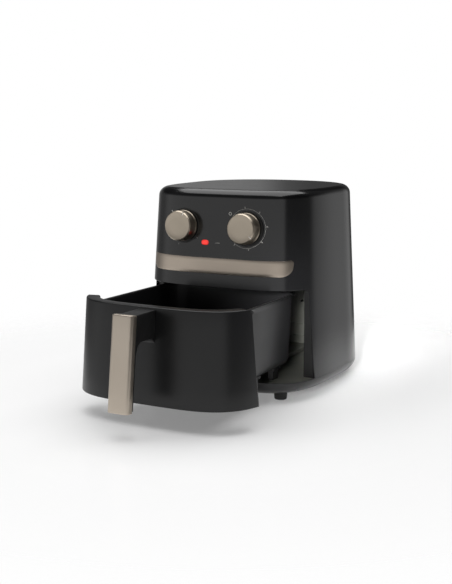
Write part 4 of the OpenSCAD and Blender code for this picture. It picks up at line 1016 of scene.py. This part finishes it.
def make_crisper():
    """Perforated plate: two sizes of hole in a chequer, a turned-down edge and feet."""
    low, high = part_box("crisper_plate")
    hw, y0, y1 = high.x, low.y, high.y
    r = PAN_R - 6 * MM
    axis = (y0 + y1) / 2
    top, under = high.z, high.z - 1.5 * MM
    levels = [(8, under), (6, under), (0.9, under), (0.9, under - 1.6 * MM), (0.0, under - 1.6 * MM),
              (0.0, top - 0.9 * MM), (0.3, top - 0.3 * MM), (1.0, top), (6, top)]
    rings = [pan_ring(hw - g * MM, y0 + g * MM, y1 - g * MM, r - g * MM * 0.8, z, 10) for g, z in levels]
    ob = tidy_mesh(sweep(rings))
    step, flare = 19 * MM, 0.6 * MM
    rows = int((hw - 16 * MM) / step)
    holes = []
    for i in range(-rows, rows + 1):
        for j in range(-rows, rows + 1):
            wide = 4.5 * MM if (i + j) % 2 == 0 else 3 * MM
            profile = [(wide, under - MM), (wide, top - flare * 0.6),
                       (wide + flare * 0.35, top - flare * 0.2), (wide + flare, top + 0.02 * MM)]
            holes.append(lathe(profile, 28, Matrix.Translation((i * step, axis + j * step, 0))))
    ob = cut(ob, join(*holes))
    foot = lathe([(3.2 * MM, 0), (3.8 * MM, 0.3 * MM), (4 * MM, 1.0 * MM), (4 * MM, under - low.z)], 32)
    reach, sides = 3.5 * step, (-1, 1)
    feet = copy_to(foot, *[Vector((sx * reach, axis + sy * reach, low.z)) for sx in sides for sy in sides])
    ob = join(ob, feet)
    piece(ob, "crisper", "crisper", plate_coat, ["crisper_plate"], smooth=32)


# ---------------------------------------------------------------- handle
HANDLE_LEAN = math.radians(6.7)        # the handle's foot stands out further than its top
HANDLE_W = 32 * MM
HANDLE_L = 128.5 * MM
COVER_D = 13 * MM
GRIP_D = 21 * MM
COVER_T = 1.5 * MM
HANDLE_FOOT = Vector((0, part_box("handle_cover")[0].y, SEAM_Z + 4.8 * MM))


def handle_frame():
    """The handle's own frame: its Z runs up the handle."""
    return Matrix.Translation(HANDLE_FOOT) @ Matrix.Rotation(-HANDLE_LEAN, 4, "X")


def channel_ring(w, y0, y1, front_r, back_r, z, shrink=0.0):
    """Section across the handle: round front corners, and back corners of their own radius."""
    hw, a, b = w / 2 - shrink, y0 + shrink, y1 - shrink
    fr, br = max(front_r - shrink, 0.3 * MM), max(back_r - shrink, 0.3 * MM)
    points = (corner_arc(hw - fr, a + fr, fr, -90, 0, 7) + corner_arc(hw - br, b - br, br, 0, 90, 7)
              + corner_arc(br - hw, b - br, br, 90, 180, 7) + corner_arc(fr - hw, a + fr, fr, 180, 270, 7))
    return [Vector((x, y, z)) for x, y in points]


def make_handle_cover():
    """Champagne channel over the front of the grip, closed at both ends, hollow behind."""
    rounded = ((0.0, 1.5), (0.15, 0.9), (0.5, 0.4), (1.1, 0.1), (2.0, 0.0))
    ends = [(z * MM, shrink * MM) for z, shrink in rounded]
    levels = ends + [(HANDLE_L * k, 0) for k in (0.25, 0.5, 0.75)]
    levels += [(HANDLE_L - z, s) for z, s in reversed(ends)]
    rings = [channel_ring(HANDLE_W, 0, COVER_D, 6 * MM, 0.5 * MM, z, s) for z, s in levels]
    ob = tidy_mesh(sweep(rings))
    pocket_w = HANDLE_W - 2 * COVER_T
    rings = [channel_ring(pocket_w, COVER_T, COVER_D + 5 * MM, 4.6 * MM, 0.5 * MM, z)
             for z in (COVER_T, HANDLE_L - COVER_T)]
    ob = cut(ob, tidy_mesh(sweep(rings)))
    ob.data.transform(handle_frame())
    piece(ob, "handle_cover_channel", "drawer", cover_metal, ["handle_cover"], smooth=35)


def make_grip():
    """Moulded grip inside the cover, rounded where the fingers go."""
    gap = COVER_T + SEAT_GAP
    w = HANDLE_W - 2 * gap
    ends = [(0.0, 2.0), (0.3, 1.1), (1.0, 0.4), (2.2, 0.0)]
    levels = [(gap + z * MM, s * MM) for z, s in ends] + [(HANDLE_L * k, 0) for k in (0.3, 0.6)]
    levels += [(HANDLE_L - gap - z * MM, s * MM) for z, s in reversed(ends)]
    rings = [channel_ring(w, gap, GRIP_D, 4.2 * MM, 4.5 * MM, z, s) for z, s in levels]
    ob = tidy_mesh(sweep(rings))
    ob.data.transform(handle_frame())
    piece(ob, "handle_grip", "drawer", grip_abs, ["handle_body"], smooth=40)


def make_arm():
    """Arm from the drawer front to the grip, its underside curving down into both."""
    top = HANDLE_FOOT.z + HANDLE_L * math.cos(HANDLE_LEAN) - 2.4 * MM
    under = OPENING_TOP - 41 * MM
    r, hw = 13 * MM, 13 * MM

    def grip_back(z):
        """Where the back of the grip lies at height z."""
        return HANDLE_FOOT.y + GRIP_D + (z - HANDLE_FOOT.z) * math.tan(HANDLE_LEAN)
    y0 = grip_back(under)
    y1 = front_y(0, under) - DRAWER_OUT
    outline = ([(grip_back(top) - 6 * MM, top), (y0 - 6 * MM, under - r), (y0 - 0.5 * MM, under - r)]
               + corner_arc(y0 - 0.5 * MM + r, under - r, r, 180, 90, 10)
               + corner_arc(y1 - r + 1 * MM, under - r, r, 90, 0, 10)
               + [(y1 + 2.5 * MM, under - r), (front_y(0, top) - DRAWER_OUT + 2.5 * MM, top)])
    rings = [[Vector((x, y, z)) for y, z in outline] for x in (-hw, hw)]
    ob = tidy_mesh(sweep(rings))
    ob = soften(ob, 2.2 * MM, 4, 50)
    piece(ob, "handle_arm", "drawer", grip_abs, smooth=40)


# ---------------------------------------------------------------- pieces that keep their own shape
CAD_FINISHES = {
    liner_nylon: ["chamber_deck"],
    trim_abs: ["pan_bracket", "pan_skids"],
    silicone: ["plate_bumpers"],
    aluminised: ["heat_shroud", "control_bracket", "motor_mount", "motor_brackets", "element_clips"],
    wire_chrome: ["element_guard"],
    sheath: ["heating_element"],
    fan_metal: ["convection_fan"],
    fan_nylon: ["cooling_fan"],
    ground_steel: ["motor_shaft", "timer_shaft", "thermostat_shaft"],
    zinc: ["bracket_screws", "motor_screws", "base_screws", "drawer_screws", "handle_screws", "fan_nut"],
    core_steel: ["motor_stator", "motor_rotor"],
    winding: ["motor_coil"],
    copper: ["thermostat_probe"],
    bell_nickel: ["timer_bell"],
    cream_resin: ["timer_unit", "thermostat_unit", "terminal_block"],
    phenolic: ["safety_switch"],
    lamp_resin: ["indicator_lamp"],
    fuse_glaze: ["thermal_fuse"],
    lead_sleeve: ["wiring_harness"],
}


def finish_cad_nodes():
    """Gives the pieces that keep their own shape their finish."""
    for material, names in CAD_FINISHES.items():
        for name in names:
            slots = frame["nodes"][name].data.materials
            slots.clear()
            slots.append(material)


# ---------------------------------------------------------------- studio
# brightness all round the object, by compass angle in degrees: 0 is in front, 90 to its right
STUDIO_BANDS = ((-180, 0.08), (-155, 0.08), (-153, 0.32), (-125, 0.32), (-104, 0.2), (-84, 0.3),
                (-66, 0.78), (48, 0.78), (56, 0.14), (124, 0.12), (134, 0.5), (172, 0.55), (180, 0.1))
CLEAR_FLOOR = (0.36, 0.8)              # metres from the object's middle between which the floor fades out

CAMERA_PLACE = (0.7529, -1.4965, 0.4133)
CAMERA_DOWN = 0.1577                   # radians below level
CAMERA_TURN = 0.4985                   # radians to the left of straight ahead
CAMERA_LENS = 65.06                    # millimetres, on a sensor 36 wide
CAMERA_SHIFT = -0.0107


def make_floor():
    """White floor that fades out well beyond the object."""
    clear_selection()
    bpy.ops.mesh.primitive_circle_add(vertices=96, radius=1.6, fill_type="NGON", location=(0, 0, 0))
    floor = bpy.context.object
    floor.name = "studio_floor"
    mat, tree, bsdf = new_material("studio_floor_white_acrylic")
    bsdf.inputs["Base Color"].default_value = (0.9, 0.9, 0.9, 1)
    bsdf.inputs["Roughness"].default_value = 0.16
    bsdf.inputs["IOR"].default_value = 1.22
    bsdf.inputs["Emission Color"].default_value = (1, 1, 1, 1)
    bsdf.inputs["Emission Strength"].default_value = 0.22
    place = add_node(tree, "ShaderNodeTexCoord").outputs["Object"]
    reach = add_node(tree, "ShaderNodeVectorMath", {"operation": "DISTANCE"}, i0=place, i1=(0, -0.12, 0))
    gone = add_node(tree, "ShaderNodeMapRange", {"interpolation_type": "SMOOTHSTEP"},
                    Value=reach.outputs["Value"], From_Min=CLEAR_FLOOR[0], From_Max=CLEAR_FLOOR[1])
    clear = add_node(tree, "ShaderNodeBsdfTransparent")
    mixed = add_node(tree, "ShaderNodeMixShader", i0=gone.outputs[0], i1=bsdf.outputs[0], i2=clear.outputs[0])
    tree.links.new(mixed.outputs[0], tree.nodes["Material Output"].inputs["Surface"])
    floor.data.materials.append(mat)


def make_surroundings():
    """White surroundings for the camera, and bands of light and dark for all that they light."""
    world = bpy.data.worlds.new("studio")
    bpy.context.scene.world = world
    world.use_nodes = True
    tree = world.node_tree
    back = tree.nodes["Background"]
    seen = add_node(tree, "ShaderNodeLightPath").outputs["Is Camera Ray"]
    way = add_node(tree, "ShaderNodeTexCoord").outputs["Generated"]
    parts = add_node(tree, "ShaderNodeSeparateXYZ", Vector=way).outputs
    behind = add_node(tree, "ShaderNodeMath", {"operation": "MULTIPLY"}, i0=parts[1], i1=-1.0).outputs[0]
    turn = add_node(tree, "ShaderNodeMath", {"operation": "ARCTAN2"}, i0=parts[0], i1=behind).outputs[0]
    round_it = add_node(tree, "ShaderNodeMapRange", Value=turn, From_Min=-math.pi, From_Max=math.pi)
    ramp = add_node(tree, "ShaderNodeValToRGB", Fac=round_it.outputs[0])
    bands = ramp.color_ramp.elements
    for angle_and_light in STUDIO_BANDS[1:-1]:
        bands.new((angle_and_light[0] + 180) / 360)
    for band, (angle, light) in zip(bands, STUDIO_BANDS):
        band.position = (angle + 180) / 360
        band.color = (light, light, light, 1)
    fall = add_node(tree, "ShaderNodeMapRange", {"interpolation_type": "SMOOTHSTEP"}, Value=parts[2],
                    From_Min=0.1, From_Max=0.4, To_Min=1.0, To_Max=0.12)
    lit = add_node(tree, "ShaderNodeMath", {"operation": "MULTIPLY"}, i0=ramp.outputs[0], i1=fall.outputs[0])
    shown = add_node(tree, "ShaderNodeMix", i0=seen, i2=lit.outputs[0], i3=1.0)
    back.inputs["Color"].default_value = (1, 1, 1, 1)
    tree.links.new(shown.outputs[0], back.inputs["Strength"])


def soft_box(name, place, aim, size, power, spread=180, mirrored=True):
    """A square light at place that faces aim, size in metres, power in watts, spread in degrees."""
    data = bpy.data.lights.new(name, "AREA")
    data.size, data.energy, data.spread = size, power, math.radians(spread)
    light = bpy.data.objects.new(name, data)
    bpy.context.scene.collection.objects.link(light)
    light.location = place
    light.rotation_euler = (Vector(aim) - Vector(place)).to_track_quat("-Z", "Y").to_euler()
    light.visible_camera = False
    light.visible_glossy = mirrored


def make_camera():
    """Camera level with the object's upper half, in front and to its right."""
    camera = bpy.data.cameras.new("camera")
    view = bpy.data.objects.new("camera", camera)
    bpy.context.scene.collection.objects.link(view)
    view.location = CAMERA_PLACE
    view.rotation_euler = Euler((math.pi / 2 - CAMERA_DOWN, 0, CAMERA_TURN))
    camera.lens = CAMERA_LENS
    camera.sensor_width = 36
    camera.shift_y = CAMERA_SHIFT
    bpy.context.scene.camera = view


make_shell()
make_top_cover()
make_base()
make_feet()
make_band()
make_collar("timer_dial", "timer_collar")
make_collar("temperature_dial", "temperature_collar")
make_knob("timer_dial", "timer_knob", -36)
make_knob("temperature_dial", "temperature_knob", 65)
make_scales()
make_lens()
make_grille()
make_inlet()
make_liner()
make_switch_pad()
make_plunger()
make_cavity_floor()
make_drawer_front()
make_pan()
make_crisper()
make_handle_cover()
make_grip()
make_arm()
finish_cad_nodes()
make_floor()
make_surroundings()
soft_box("top_box", (-0.2, 0.1, 2.4), (-0.2, 0.1, 0), 3.2, 80)
# reaches into the open cavity, beside the drawer
soft_box("cavity_fill", (0.42, -0.95, 0.36), (0.1, 0.1, 0.09), 0.12, 0.35, 16, mirrored=False)
make_camera()
